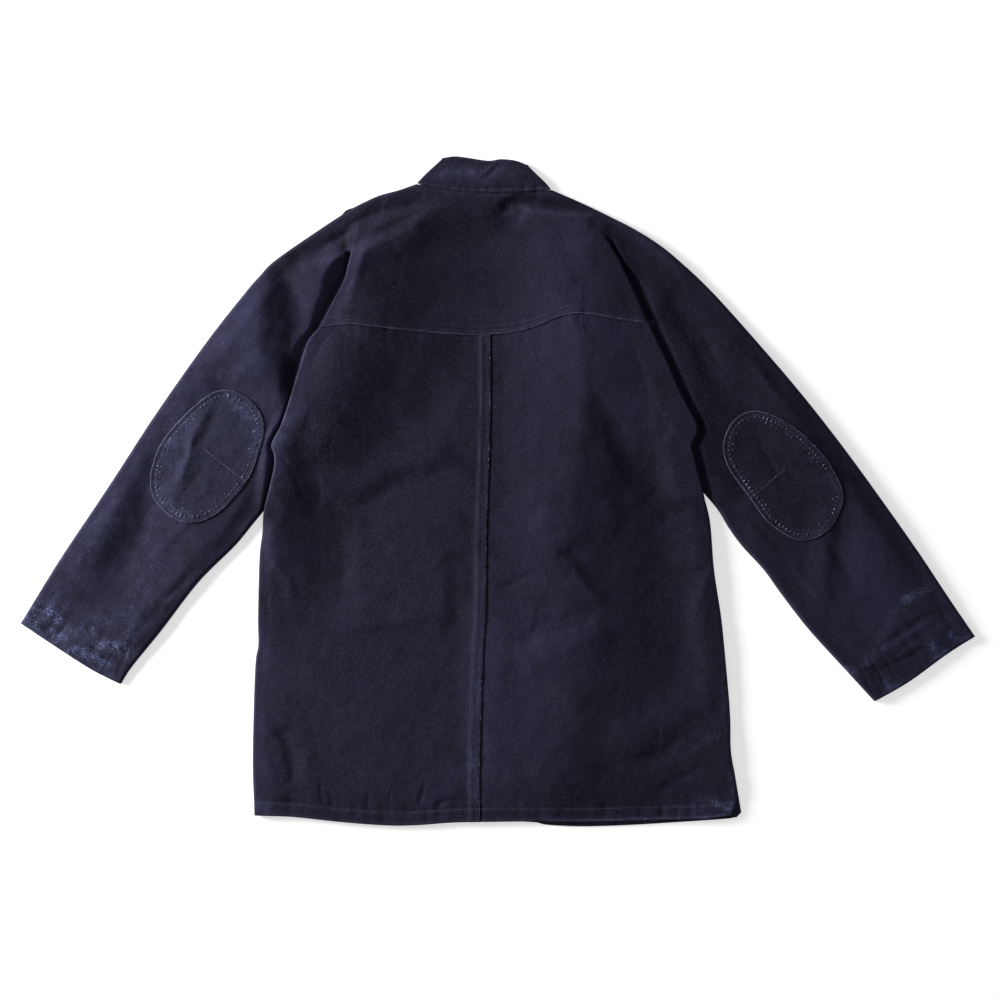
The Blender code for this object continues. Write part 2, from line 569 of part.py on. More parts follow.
def make_back(side):
    """Half of the back, from the centre seam to its side, with the cloth turned under."""
    hand = "left" if side < 0 else "right"
    rows = np.linspace(0.0, 1.0, BACK_ROWS)
    seam_line = rail("back_seam") + np.array([side * SEAM_GAP / 2.0, 0.0])
    edge = along(rail(f"side_{hand}"), rows)
    inset = edge - np.array([side * LIP_ROUND, 0.0])
    at = np.linspace(0.0, 1.0, BACK_STEPS)
    top = seam_points(side)
    seam_line[0], inset[0] = top[0], top[-1]
    hem = rail(f"hem_{hand}")
    hem = np.vstack([inset[-1][None, :], hem[side * (inset[-1, 0] - hem[:, 0]) > 1.0]])
    hem[-1] = seam_line[-1]
    plan = stretch(top, hem[::-1], seam_line, inset, at, rows)
    flat = solid(plan, body_height(plan))
    y, high = inset[:, 1], flat[-1, :, 2]
    over = above_armpit(y, side)
    low = CLOTH + SEAM_GAP + (LAP_UNDER - CLOTH - SEAM_GAP) * over
    turn = SIDE_TURN + (LAP_WIDTH - SIDE_TURN) * over * ease((y - ARMPIT_Y[side] + 5.0) / 120.0)
    tall = (high - low) / 2.0
    columns = [flat]
    for angle in TURN_ANGLES:
        across = inset[:, 0] + side * LIP_ROUND * np.sin(angle)
        up = low + tall + tall * np.cos(angle)
        columns.append(np.stack([across, y, up], axis=-1)[None])
    for part in (0.5, 1.0):
        across = inset[:, 0] - side * turn * part
        columns.append(np.stack([across, y, low], axis=-1)[None])
    grid = np.concatenate(columns)
    grid[:, 0, 1] = yoke_seam_y(grid[:, 0, 0])
    inner = inner_face(grid)
    inner[..., 2] = np.maximum(inner[..., 2], FRONT_TOP + SEAM_GAP)
    inner[:, 0, 1] = yoke_seam_y(inner[:, 0, 0])
    inner[:, -1, 1] = grid[:, -1, 1]
    inner[0, :, 0] = grid[0, :, 0]
    sheet(f"back_{hand}", grid, inner)


def make_collar():
    """Stand collar pressed flat: its back half over the ends of its front half."""
    rows = np.linspace(0.0, 1.0, COLLAR_ROWS)
    ends = {}
    for side, hand in ((-1, "left"), (1, "right")):
        line = along(rail(f"collar_end_{hand}"), rows)
        ends[side] = line - np.array([side * LIP_ROUND, 0.0])
    seam = rail("neck_seam")
    seam = seam[(seam[:, 0] > ends[-1][0, 0] + 1) & (seam[:, 0] < ends[1][0, 0] - 1)]
    seam = np.vstack([ends[-1][0], seam, ends[1][0]]) + np.array([0.0, SEAM_GAP])
    ends[-1][0], ends[1][0] = seam[0], seam[-1]
    top = rail("collar_top")
    top = top[(top[:, 0] > ends[-1][-1, 0] + 1) & (top[:, 0] < ends[1][-1, 0] - 1)]
    top = np.vstack([ends[-1][-1], top, ends[1][-1]])
    at = np.linspace(0.0, 1.0, COLLAR_PARTS)
    plan = stretch(seam, top, ends[-1], ends[1], at, rows)
    high = COLLAR_TOP + COLLAR_CROWN * np.sin(np.pi * rows) + COLLAR_FOOT * (1 - rows)
    back = solid(plan, np.tile(high, (len(at), 1)))
    middle = (len(at) - 1) // 2
    columns = []
    for side in (-1, 1):
        line = ends[side]
        turn = []
        for angle in np.radians([45.0, 90.0, 135.0]):
            turn.append(np.stack([line[:, 0] + side * LIP_ROUND * np.sin(angle), line[:, 1],
                                  high / 2.0 + high / 2.0 * np.cos(angle)], axis=-1)[None])
        part = plan[:middle:2] if side < 0 else plan[middle + 2::2][::-1]
        below = np.concatenate([part, plan[middle:middle + 1] + np.array([side, 0.0])])
        columns.append((turn, solid(below, np.zeros(below.shape[:2]))))
    left_turn, left_below = columns[0]
    right_turn, right_below = columns[1]
    grid = np.concatenate([left_below[::-1]] + left_turn[::-1] + [back] + right_turn
                          + [right_below])
    inner = inner_face(grid)
    inner[:, 0, 1] = grid[:, 0, 1]
    sheet("collar", grid, inner)


def make_patch(side, sleeve_grid):
    """Oval elbow patch: the sleeve's own outer face, cut to the oval and moved out."""
    hand = "left" if side < 0 else "right"
    points = OUTLINE[f"patch_{hand}"]
    edge = along(bend(points + (points[0],), per=12), np.linspace(0.0, 1.0, PATCH_SIDES + 1))
    edge = edge - MIDDLE[:2]
    centre = edge[:-1].mean(axis=0)
    made = surface(sleeve_grid)
    for start, finish in zip(edge[:-1], edge[1:]):
        along_edge = finish - start
        out = np.array([along_edge[1], -along_edge[0]])
        if out @ (start - centre) < 0:
            out = -out
        bmesh.ops.bisect_plane(made, geom=made.verts[:] + made.edges[:] + made.faces[:],
                               dist=1e-6, plane_co=(start[0] * MM, start[1] * MM, 0.0),
                               plane_no=(out[0], out[1], 0.0), clear_outer=True)
    bmesh.ops.dissolve_degenerate(made, dist=0.3 * MM, edges=made.edges[:])
    bmesh.ops.triangulate(made, faces=made.faces[:])
    for vert in made.verts:
        vert.co.z += PATCH_LIFT * MM
    upper = bmesh.ops.extrude_face_region(made, geom=made.faces[:])["geom"]
    for item in upper:
        if isinstance(item, bmesh.types.BMVert):
            item.co.z += PATCH_CLOTH * MM
    return linked(f"elbow_patch_{hand}", made, PATCH_INDIGO)


def spaced(line, gap):
    """The same line with its points about a gap apart."""
    length = np.hypot(*np.diff(line, axis=0).T).sum()
    return along(line, np.linspace(0.0, 1.0, max(2, round(length / gap) + 1)))


def make_front(side):
    """Plain front with the front of its sleeve, flat on the surface under everything else."""
    hand = "left" if side < 0 else "right"
    outer, shoulder = rail(f"outer_{hand}"), rail(f"shoulder_{hand}")
    shoulder = shoulder if side < 0 else shoulder[::-1]
    corner = shoulder[-1]
    shoulder = shoulder[np.hypot(*(shoulder - corner).T) > NECK_CLEAR]
    seam = rail("neck_seam")
    seam = seam if side < 0 else seam[::-1]
    middle = OUTLINE["back_seam"][0][0] + side * 0.5
    neck = seam[(side * (seam[:, 0] - middle) > 0.0) & (np.hypot(*(seam - corner).T) > NECK_CLEAR)]
    neck = neck - np.array([0.0, NECK_DROP])
    hem = rail(f"front_hem_{hand}")
    hem = (hem if side < 0 else hem)[::-1]
    hem[0, 0] += side * 0.5
    if side < 0:
        edge = rail("side_left")[::-1]
        edge = edge[edge[:, 1] < ARMPIT_Y[side] - 1.0][3:] + np.array([1.0, 0.0])
    else:
        edge = rail("front_side_right")[::-1]
    runs = [outer, shoulder, neck, np.vstack([[[middle, neck[-1, 1]]], hem[:1]]), hem, edge,
            rail(f"inner_{hand}")[::-1], rail(f"cuff_{hand}")[::-1]]
    loop = np.vstack([spaced(run, FRONT_STEP) for run in runs])
    apart = np.hypot(*(loop - np.roll(loop, 1, axis=0)).T)
    loop = loop[apart > 2.0] - MIDDLE[:2]
    points = [Vector(point) for point in loop]
    filled = delaunay_2d_cdt(points, [], [list(range(len(loop)))], 1, 1e-4)
    made = bmesh.new()
    verts = [made.verts.new((x * MM, y * MM, 0.0)) for x, y in filled[0]]
    for corners in filled[2]:
        made.faces.new([verts[k] for k in corners])
    upper = bmesh.ops.extrude_face_region(made, geom=made.faces[:])["geom"]
    for item in upper:
        if isinstance(item, bmesh.types.BMVert):
            item.co.z += CLOTH * MM
    return linked(f"front_{hand}", made, INDIGO)


def main():
    """Clear the scene and build every piece."""
    for old in list(bpy.data.objects):
        bpy.data.objects.remove(old, do_unlink=True)
    top = make_yoke_and_sleeves()
    for side in (-1, 1):
        make_back(side)
        make_patch(side, top)
        make_front(side)
    make_collar()


main()
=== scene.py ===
"""Looks of a plain indigo cotton work jacket, laid out flat with its back up.

Every cut piece is a thin shell of cloth on the form of its solid, made from the same outline and
fold tables, with the finer creases, seams, hems, puckers and stitches that the solids leave out.
Tables and sizes are in millimetres, X to the wearer's right, Y up to the collar, Z off the floor.
Meshes are made in metres.
"""
import logging
import math
from dataclasses import dataclass
from enum import Enum
from typing import Callable, NamedTuple

import bmesh
import bpy
import numpy as np
from mathutils import Matrix, Vector
from mathutils.geometry import delaunay_2d_cdt


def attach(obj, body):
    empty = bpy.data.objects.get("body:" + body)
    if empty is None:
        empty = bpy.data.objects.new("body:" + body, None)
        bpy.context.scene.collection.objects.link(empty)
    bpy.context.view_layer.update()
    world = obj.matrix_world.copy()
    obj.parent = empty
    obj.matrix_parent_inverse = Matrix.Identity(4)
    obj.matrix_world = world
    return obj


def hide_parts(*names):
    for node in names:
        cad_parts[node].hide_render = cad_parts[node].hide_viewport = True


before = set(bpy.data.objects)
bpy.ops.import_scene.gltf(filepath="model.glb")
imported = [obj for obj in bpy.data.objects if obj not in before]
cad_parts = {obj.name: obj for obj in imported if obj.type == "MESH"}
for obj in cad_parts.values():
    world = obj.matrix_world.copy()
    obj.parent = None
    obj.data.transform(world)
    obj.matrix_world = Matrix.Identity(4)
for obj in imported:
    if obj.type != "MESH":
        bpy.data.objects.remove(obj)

MM = 0.001
LOG = logging.getLogger("work_jacket")
Array = np.ndarray
Height = Callable[[Array], Array]

# Cloth and layers, as in the solids
CLOTH = 1.5
SHELL = 1.2
SEAM_GAP = 0.3
SEAM_LAP = 0.35
FRONT_TOP = CLOTH
LOW_OUTER = FRONT_TOP + SEAM_GAP + CLOTH + 0.1
CROWN = 8.5
FOLD_DEPTH = 1.5
EDGE_ROLL = 4.6
EDGE_END = 2.2
EDGE_RISE = 28.0
EDGE_CALM = 0.6

# Edges near which the relief is low: its share at the edge, and how far in it is whole again
CALM_EDGES = ((("cuff_left", "cuff_right"), 0.3, 60.0), (("hem_left", "hem_right"), 0.35, 50.0),
              (("neck_seam",), 0.45, 40.0))

# Fold of the body over each sleeve
POCKET_AIR = 2.4
LAP_UNDER = LOW_OUTER + POCKET_AIR
LAP_WIDTH = 20.0
LAP_FIRST = 4.2
SIDE_TURN = 9.0
LIP_ROUND = 2.6
LIP_RISE = 4.2
LAP_OUT = 7.0
LAP_IN = 9.0
LAP_TUCK = 1.6

# Patches, fronts and the middle of the whole garment
PATCH_CLOTH = 1.2
PATCH_LIFT = 0.45
NECK_CLEAR = 3.0
NECK_DROP = 1.2
MIDDLE = np.array([-0.25, 0.25, 0.0])

# Hems, seams and stitches
HEM_BAND = 16.0
CUFF_BAND = 35.0
FELLED_BAND = 12.5
YOKE_STITCH = 5.5
STITCH_LONG = 2.3
STITCH_STEP = 3.1
STITCH_THICK = 0.5

# How finely the shells are divided
SLEEVE_STEPS = 128
YOKE_STEPS = 92
SLEEVE_ROWS = 112
BACK_STEPS = 128
BACK_ROWS = 240
COLLAR_STEPS = 120
COLLAR_ROWS = 26
PATCH_STEPS = 124
FRONT_CELL = 9.0
CHUNK = 4000
LATTICE = 64
WANDER = 5.5

OUTLINE = {
    "outer_left": ((-596, -164), (-546, -83), (-486, 7), (-427.5, 97), (-364, 187), (-315, 249.5),
                   (-297.5, 269.5), (-277.5, 289.5), (-220, 329.5), (-182.5, 353.5)),
    "shoulder_left": ((-182.5, 353.5), (-171, 359.5), (-149, 369.5), (-122.5, 377), (-102.5, 384)),
    "neck_seam": ((-102.5, 384), (-75, 379.5), (-51, 376), (-22.5, 374), (21, 374), (46, 375.5),
                  (67.5, 376.5)),
    "shoulder_right": ((67.5, 376.5), (86, 368.5), (107.5, 359), (127.5, 349.5)),
    "outer_right": ((595.5, -180.5), (560, -128), (520, -68), (456, 22), (411, 82), (362.5, 142),
                    (295, 219.5), (257.5, 259.5), (225, 289.5), (200, 309.5), (167.5, 329.5),
                    (127.5, 349.5)),
    "cuff_left": ((-596, -164), (-562.5, -186.5), (-514, -218), (-489, -231.5), (-471, -240)),
    "cuff_right": ((595.5, -180.5), (560, -203), (519, -233), (495, -248), (470, -261.5)),
    "inner_left": ((-471, -240), (-457.5, -219), (-421, -174), (-374, -113), (-329, -68),
                   (-305, -39), (-292.5, -24)),
    "inner_right": ((470, -261.5), (430, -218), (389, -173), (354, -128), (332.5, -98),
                    (305, -68), (287.5, -44), (275, -23), (256, -0.5)),
    "tuck_left": ((-292.5, -24), (-279, 18), (-266, 60), (-251, 115), (-237, 158), (-221, 191)),
    "tuck_right": ((256, -0.5), (240, 37), (222.5, 89.5), (192.5, 149.5)),
    "lip_left": ((-182.5, 353.5), (-184, 314.5), (-185, 297), (-191, 266), (-205, 238.5),
                 (-223, 204.5)),
    "lip_right": ((127.5, 349.5), (129, 333.5), (142.5, 306), (156, 279.5), (175, 238.5),
                  (188, 210)),
    "side_left": ((-223, 204.5), (-237.5, 186), (-250, 147), (-260, 114.5), (-270, 84.5),
                  (-279, 67), (-282.5, 57), (-279, 46), (-279, 32), (-285, 4.5), (-292, -24),
                  (-294, -53), (-297.5, -83), (-299.5, -158), (-299, -190.5), (-302.5, -213),
                  (-305, -278), (-306, -341.5), (-304, -404)),
    "side_right": ((188, 210), (212.5, 158.5), (231, 117), (246, 89.5), (249, 74.5), (241, 58.5),
                   (245, 43.5), (249.5, 23.5), (256, -0.5), (264, -48), (270, -113), (280.5, -188),
                   (286, -248), (289, -308), (292, -340.5), (297.5, -373), (296, -390.5),
                   (290.5, -404)),
    "yoke_seam_left": ((-223, 204.5), (-186, 208.5), (-161, 206), (-116, 201), (-75, 197.5),
                       (-34, 195), (-9.5, 196)),
    "yoke_seam_right": ((188, 210), (154, 214), (120, 220), (95, 221.5), (72, 216), (56, 209),
                        (33, 201.5), (11, 197.5), (-9.5, 196)),
    "back_seam": ((-9.5, 196), (-9, 121), (-11, 33.5), (-14, -55), (-15, -143), (-18.5, -208),
                  (-21.5, -296), (-23, -361.5), (-22, -412)),
    "hem_left": ((-304, -404), (-270, -405), (-247.5, -406.5), (-197.5, -412), (-137.5, -416.5),
                 (-100, -416), (-60, -413), (-22, -412)),
    "hem_right": ((290.5, -404), (257.5, -408), (219, -409), (161, -410.5), (104, -412),
                  (46, -411.5), (-22, -412)),
    "front_side_right": ((256, -0.5), (265, -38), (270, -98), (279, -158), (285, -218),
                         (290, -278), (291, -323), (296, -353), (301, -383), (304, -400.5)),
    "front_hem_left": ((-301, -402), (-247.5, -404), (-137.5, -412), (-22.5, -410)),
    "front_hem_right": ((304, -400.5), (300, -406), (280, -409), (220, -413), (160, -416.5),
                        (102.5, -418), (60, -416), (46, -413), (-21.5, -410)),
    "collar_top": ((-69, 416.5), (-54, 418.5), (-40, 417), (-12.5, 413), (4, 415), (22.5, 413),
                   (37.5, 407)),
    "collar_end_left": ((-101, 385.5), (-90, 397), (-77.5, 408.5), (-69, 416.5)),
    "collar_end_right": ((66, 378), (58.5, 386.5), (46, 398.5), (37.5, 407)),
    "patch_left": ((-335.5, 127), (-306.5, 112.5), (-291.5, 84), (-297.5, 49.5), (-314, 11),
                   (-347.5, -25.5), (-379.5, -39), (-408, -31), (-431.5, -4), (-431, 32.5),
                   (-412.5, 71), (-366, 117)),
    "patch_right": ((320, 101), (354, 89.5), (387.5, 64.5), (415, 31), (429.5, -8), (412.5, -46.5),
                    (377.5, -61), (339, -40.5), (314, -8), (286, 32), (281, 62), (294.5, 89.5)),
    "dart_left": ((-368, 53), (-314, 11)),
    "dart_right": ((356, 27), (314, -8)),
}


class Fold(NamedTuple):
    """A ridge (height above 0) or a trough (below 0), its spread to each side, and its path."""

    name: str
    height: float
    left: float
    right: float
    path: tuple


FOLDS = (
    Fold("left shoulder hollow", -2.5, 13, 12, ((-72, 370), (-136, 356), (-195, 323), (-247, 292))),
    Fold("left shoulder ridge", 3.4, 34, 14,
         ((-70, 350), (-116, 328), (-164, 305), (-222, 281), (-262, 267))),
    Fold("left sleeve crest", 5.2, 38, 60,
         ((-284, 288), (-297, 262), (-300, 235), (-297, 205), (-292, 180), (-285, 155), (-274, 130))),
    Fold("left sleeve valley", -1.8, 16, 22, ((-272, 282), (-264, 252), (-252, 222), (-246, 196))),
    Fold("left inner crest", 1.9, 14, 26,
         ((-194, 314), (-202, 285), (-212, 260), (-225, 238), (-237, 214))),
    Fold("left outer ridge", 3.0, 45, 25, ((-310, 240), (-398, 115), (-485, -17), (-548, -110))),
    Fold("left forearm hollow", -3.0, 38, 38, ((-375, 150), (-435, 27), (-448, -60), (-488, -135))),
    Fold("left underarm ridge", 1.4, 18, 45, ((-295, 27), (-354, -67), (-435, -167), (-473, -210))),
    Fold("left elbow ridge", 0.9, 16, 13, ((-361, 108), (-376, 71), (-385, 37), (-398, 8))),
    Fold("right lip ridge", 0.9, 24, 17, ((190, 287), (205, 226), (229, 182), (254, 125))),
    Fold("right sleeve trough", -0.6, 40, 20,
         ((214, 292), (228, 226), (251, 182), (269, 115), (280, 65))),
    Fold("right shoulder ridge", 2.0, 18, 12, ((141, 337), (193, 311), (240, 265))),
    Fold("right sleeve crown", 3.5, 60, 55, ((277, 202), (365, 90), (440, -10), (515, -123))),
    Fold("right forearm fold", 1.4, 17, 28, ((402, -10), (410, -85), (405, -148))),
    Fold("right forearm trough", -1.0, 18, 31, ((434, -35), (435, -135))),
    Fold("right underarm ridge", 2.0, 31, 13, ((290, -48), (365, -148), (440, -235))),
    Fold("yoke left ridge", 5.2, 150, 24,
         ((-152, 334), (-163, 300), (-176, 264), (-190, 230), (-206, 198))),
    Fold("yoke right ridge", 5.0, 96, 112,
         ((98, 346), (104, 300), (108, 250), (110, 205), (111, 160), (111, 118))),
    Fold("back right crest", 5.0, 72, 112,
         ((111, 172), (114, 130), (113, 92), (106, 56), (97, 20), (88, -20), (78, -60), (70, -88))),
    Fold("back left ridge", 4.5, 78, 36, ((-192, 200), (-203, 140), (-212, 80), (-216, 30))),
    Fold("left lip ridge", 4.5, 62, 20, ((-262, 95), (-274, 60), (-282, 5), (-284, -60), (-284, -120))),
    Fold("left flank trough", -2.4, 28, 70,
         ((-204, 20), (-202, -30), (-196, -70), (-192, -115), (-208, -170))),
    Fold("left drag ridge", 2.3, 50, 22,
         ((-192, -6), (-172, 8), (-148, 22), (-122, 35), (-92, 46), (-56, 58))),
    Fold("left bay foot", 0.8, 30, 12, ((-185, -160), (-150, -163), (-110, -160), (-62, -148))),
    Fold("centre trough", -1.4, 36, 20, ((-54, -66), (-54, -110), (-54, -150), (-58, -190))),
    Fold("left hip drag", 1.2, 20, 30, ((-295, -196), (-262, -214), (-225, -240), (-180, -262))),
    Fold("left hem trough", -1.8, 20, 30, ((-276, -292), (-262, -330), (-248, -372))),
    Fold("right wedge", -1.4, 24, 24, ((124, 134), (136, 100), (150, 66), (167, 32), (184, 0))),
    Fold("back right trough", -3.4, 44, 84,
         ((170, 60), (196, 10), (210, -40), (218, -100), (220, -190), (208, -265))),
    Fold("back right ridge", 2.5, 60, 60, ((75, -80), (92, -150), (92, -230), (84, -320))),
    Fold("right side ridge", 1.1, 30, 60,
         ((178, 177), (214, 102), (234, 50), (246, -35), (253, -135), (260, -235))),
    Fold("right bay edge", 0.8, 14, 24, ((70, -66), (92, -92), (116, -118), (140, -142))),
    Fold("right bay foot", 1.3, 22, 42, ((20, -214), (62, -203), (102, -185), (140, -158))),
    Fold("right bay line", -0.7, 18, 18, ((26, -190), (62, -178), (100, -156), (134, -134))),
    Fold("right hem ridge", 1.2, 40, 30, ((130, -316), (180, -296), (235, -268), (284, -236))),
    Fold("right hem trough", -1.0, 30, 30, ((120, -350), (170, -338), (225, -318), (270, -290))),
    Fold("right skirt trough", -1.2, 40, 70, ((138, -290), (140, -345), (130, -400))),
    Fold("neck fold", -4.2, 12, 12, ((4, 350), (16, 361), (36, 367), (76, 359), (118, 352))),
    Fold("neck ridge", 3.8, 10, 32, ((28, 357), (50, 349), (92, 342), (130, 339))),
)

# Middle of the tables on the photo, in its pixels, and how many millimetres one of them is
PHOTO_MIDDLE = (498.0, 491.7)
PHOTO_STEP = 1.25


def on_photo(*spots: tuple) -> tuple:
    """Path of a crease whose spots were picked on the photo, in tenths of a millimetre.

    Args:
        spots: The spots in the photo's pixels, from its upper left corner.

    Returns:
        The path's points in the tables' millimetres.
    """
    return tuple((round((x - PHOTO_MIDDLE[0]) * PHOTO_STEP, 1),
                  round((PHOTO_MIDDLE[1] - y) * PHOTO_STEP, 1)) for x, y in spots)


# Finer creases, set on top of the folds, in millimetres or by spots on the photo
CREASES = (
    Fold("right cuff crease", -2.6, 7, 6, on_photo((884, 645), (905, 634), (925, 622), (940, 611))),
    Fold("right cuff lower crease", -2.2, 6, 5, on_photo((866, 674), (885, 668), (918, 654))),
    Fold("right cuff ridge", 1.2, 8, 8, on_photo((862, 660), (885, 653), (908, 640), (930, 627))),
    Fold("left cuff pucker a", -0.8, 5, 5, ((-556, -156), (-564, -171))),
    Fold("left cuff pucker b", -0.9, 6, 5, ((-541, -160), (-549, -171), (-557.5, -180))),
    Fold("left cuff pucker c", -1.0, 6, 5, on_photo((96, 640), (88, 655))),
    Fold("left cuff pucker d", -1.2, 6, 6, on_photo((116, 632), (108, 648), (99, 664))),
    Fold("left inner drag", -1.5, 9, 9, on_photo((128, 640), (150, 618), (176, 590), (196, 566))),
    Fold("left sleeve drag", 1.3, 10, 10, on_photo((150, 560), (172, 536), (196, 520))),
    Fold("left forearm crease", -1.9, 6, 6, ((-544, -101), (-527, -113), (-512, -125))),
    Fold("body short crease", -1.5, 7, 6, on_photo((671, 583), (688, 572), (705, 566))),
    Fold("body bubble", 1.6, 18, 18, on_photo((600, 500), (608, 512), (612, 526))),
    Fold("body low crease", -1.5, 9, 7, on_photo((495, 590), (512, 582), (530, 575), (560, 570))),
    Fold("body streak ridge", 1.0, 8, 7, on_photo((518, 652), (540, 643), (560, 637), (607, 608))),
    Fold("body streak trough", -0.8, 7, 6, on_photo((512, 642), (536, 632), (600, 598))),
    Fold("body step", 1.4, 10, 6, on_photo((556, 552), (575, 572), (590, 590), (609, 606))),
    Fold("body dent", -1.6, 10, 10, on_photo((560, 555), (568, 556), (575, 555))),
    Fold("left patch ridge", 1.3, 8, 10, ((-350, 110), (-365, 86), (-376, 66), (-386, 38), (-396, 4))),
    Fold("left patch valley", -0.7, 9, 9, on_photo((222, 408), (212, 428), (203, 444), (199, 452))),
    Fold("left patch inner valley", -0.6, 6, 7, on_photo((246, 414), (238, 432), (233, 440))),
    Fold("left patch lower valley", -0.7, 7, 7, on_photo((206, 470), (194, 486), (181, 505))),
    Fold("left patch low ridge", 0.8, 7, 7, on_photo((216, 478), (206, 492), (196, 506))),
    Fold("right patch valley", -0.7, 8, 8, on_photo((752, 430), (760, 450), (772, 470), (786, 490))),
    Fold("right patch ridge", 0.6, 8, 8, on_photo((768, 424), (780, 446), (796, 470))),
    Fold("yoke left crease", -1.6, 10, 8, on_photo((352, 232), (346, 256), (338, 284), (332, 306))),
    Fold("yoke left pull", 1.4, 10, 10, on_photo((366, 240), (362, 268), (352, 298))),
    Fold("yoke centre dent", -0.8, 18, 18, on_photo((470, 232), (478, 262), (476, 292))),
    Fold("yoke right dent", -1.0, 14, 14, on_photo((560, 236), (572, 262), (580, 290))),
    Fold("yoke neck crease", -1.6, 6, 6, ((6, 350), (14, 360), (30, 365), (46, 362))),
    Fold("yoke neck ridge", 1.8, 5, 9, ((30, 356), (50, 348.5), (92, 341.5), (126, 339.5), (146, 334))),
    Fold("left side crease a", -1.4, 8, 8, on_photo((276, 446), (290, 470), (300, 500))),
    Fold("left side crease b", 1.3, 9, 9, on_photo((268, 560), (284, 580), (292, 604))),
    Fold("left waist crease", -1.3, 9, 9, on_photo((270, 660), (292, 676), (322, 700), (348, 716))),
    Fold("left low crease", 2.0, 12, 12, ((-296, -258), (-285, -292), (-270, -330), (-262, -372))),
    Fold("right side crease a", -1.5, 8, 8, on_photo((688, 470), (676, 500), (664, 530))),
    Fold("right side crease b", 1.3, 9, 9, on_photo((712, 560), (700, 590), (694, 620))),
    Fold("right low crease a", -1.7, 12, 12, ((166, -334), (192, -328), (216, -319), (229, -300))),
    Fold("right low crease b", 1.2, 9, 9, on_photo((728, 730), (706, 748), (680, 760), (652, 768))),
    Fold("right low crease c", -1.8, 9, 9, ((190, -367), (216, -360), (240, -352), (262, -341))),
    Fold("left hem crease", -1.8, 5, 4, ((-270, -383), (-258, -387), (-244, -389))),
    Fold("left hem pucker a", -1.5, 4, 4, ((-219, -366), (-218, -390))),
    Fold("left hem pucker b", -1.2, 4, 4, ((-208, -374), (-206, -394))),
    Fold("left hem pucker c", -1.3, 4, 4, ((-166, -372), (-166, -396))),
    Fold("left hem pucker d", -1.1, 4, 4, ((-136, -376), (-135, -398))),
    Fold("left hem pucker e", -1.6, 5, 5, ((-88, -366), (-93, -392))),
    Fold("left hem pull", -1.8, 5, 5, ((-74, -396), (-64, -391), (-52, -386))),
    Fold("left strip foot ridge", 0.8, 16, 12, ((-100, -384), (-78, -362), (-50, -330))),
    Fold("right hem pucker a", -1.3, 4, 4, ((136, -388), (136, -407))),
    Fold("right hem pucker b", -1.2, 4, 4, ((174, -390), (174, -407))),
    Fold("right hem pucker c", -1.5, 4, 4, ((203, -386), (203, -406))),
    Fold("right hem pucker d", -1.2, 4, 4, ((221, -390), (221, -406))),
    Fold("right hem pucker e", -1.5, 4, 4, ((253, -388), (252, -405))),
    Fold("right hem pucker f", -1.4, 4, 4, ((268, -386), (270, -404))),
    Fold("right sleeve crease a", -1.4, 9, 9, on_photo((700, 330), (712, 352), (722, 376))),
    Fold("right sleeve crease b", 1.2, 10, 10, on_photo((740, 352), (760, 380), (778, 404))),
    Fold("right forearm crease a", -1.3, 9, 9, on_photo((822, 540), (836, 560), (846, 584))),
    Fold("right forearm crease b", 1.2, 9, 9, on_photo((790, 560), (806, 584), (820, 606))),
    Fold("right underarm crease", -1.2, 9, 9, on_photo((722, 500), (746, 520), (764, 542))),
)

COLLAR_CREASES = (
    Fold("collar trough", -0.5, 6, 7, on_photo((484, 178), (492, 173), (497, 166))),
    Fold("collar ridge", 0.9, 5, 5, on_photo((470, 172), (482, 175), (493, 167), (499, 162))),
    Fold("collar left dent", -0.8, 9, 9, ((-80, 396), (-62, 400), (-46, 398))),
    Fold("collar right ridge", 0.6, 7, 7, ((16, 392), (34, 396), (46, 392))),
)


class Mark(NamedTuple):
    """A paler (above 0) or darker (below 0) place in the cloth's colour, from worn dye and from painted
    shade and light, its half width and its path.
    """

    name: str
    strength: float
    width: float
    path: tuple


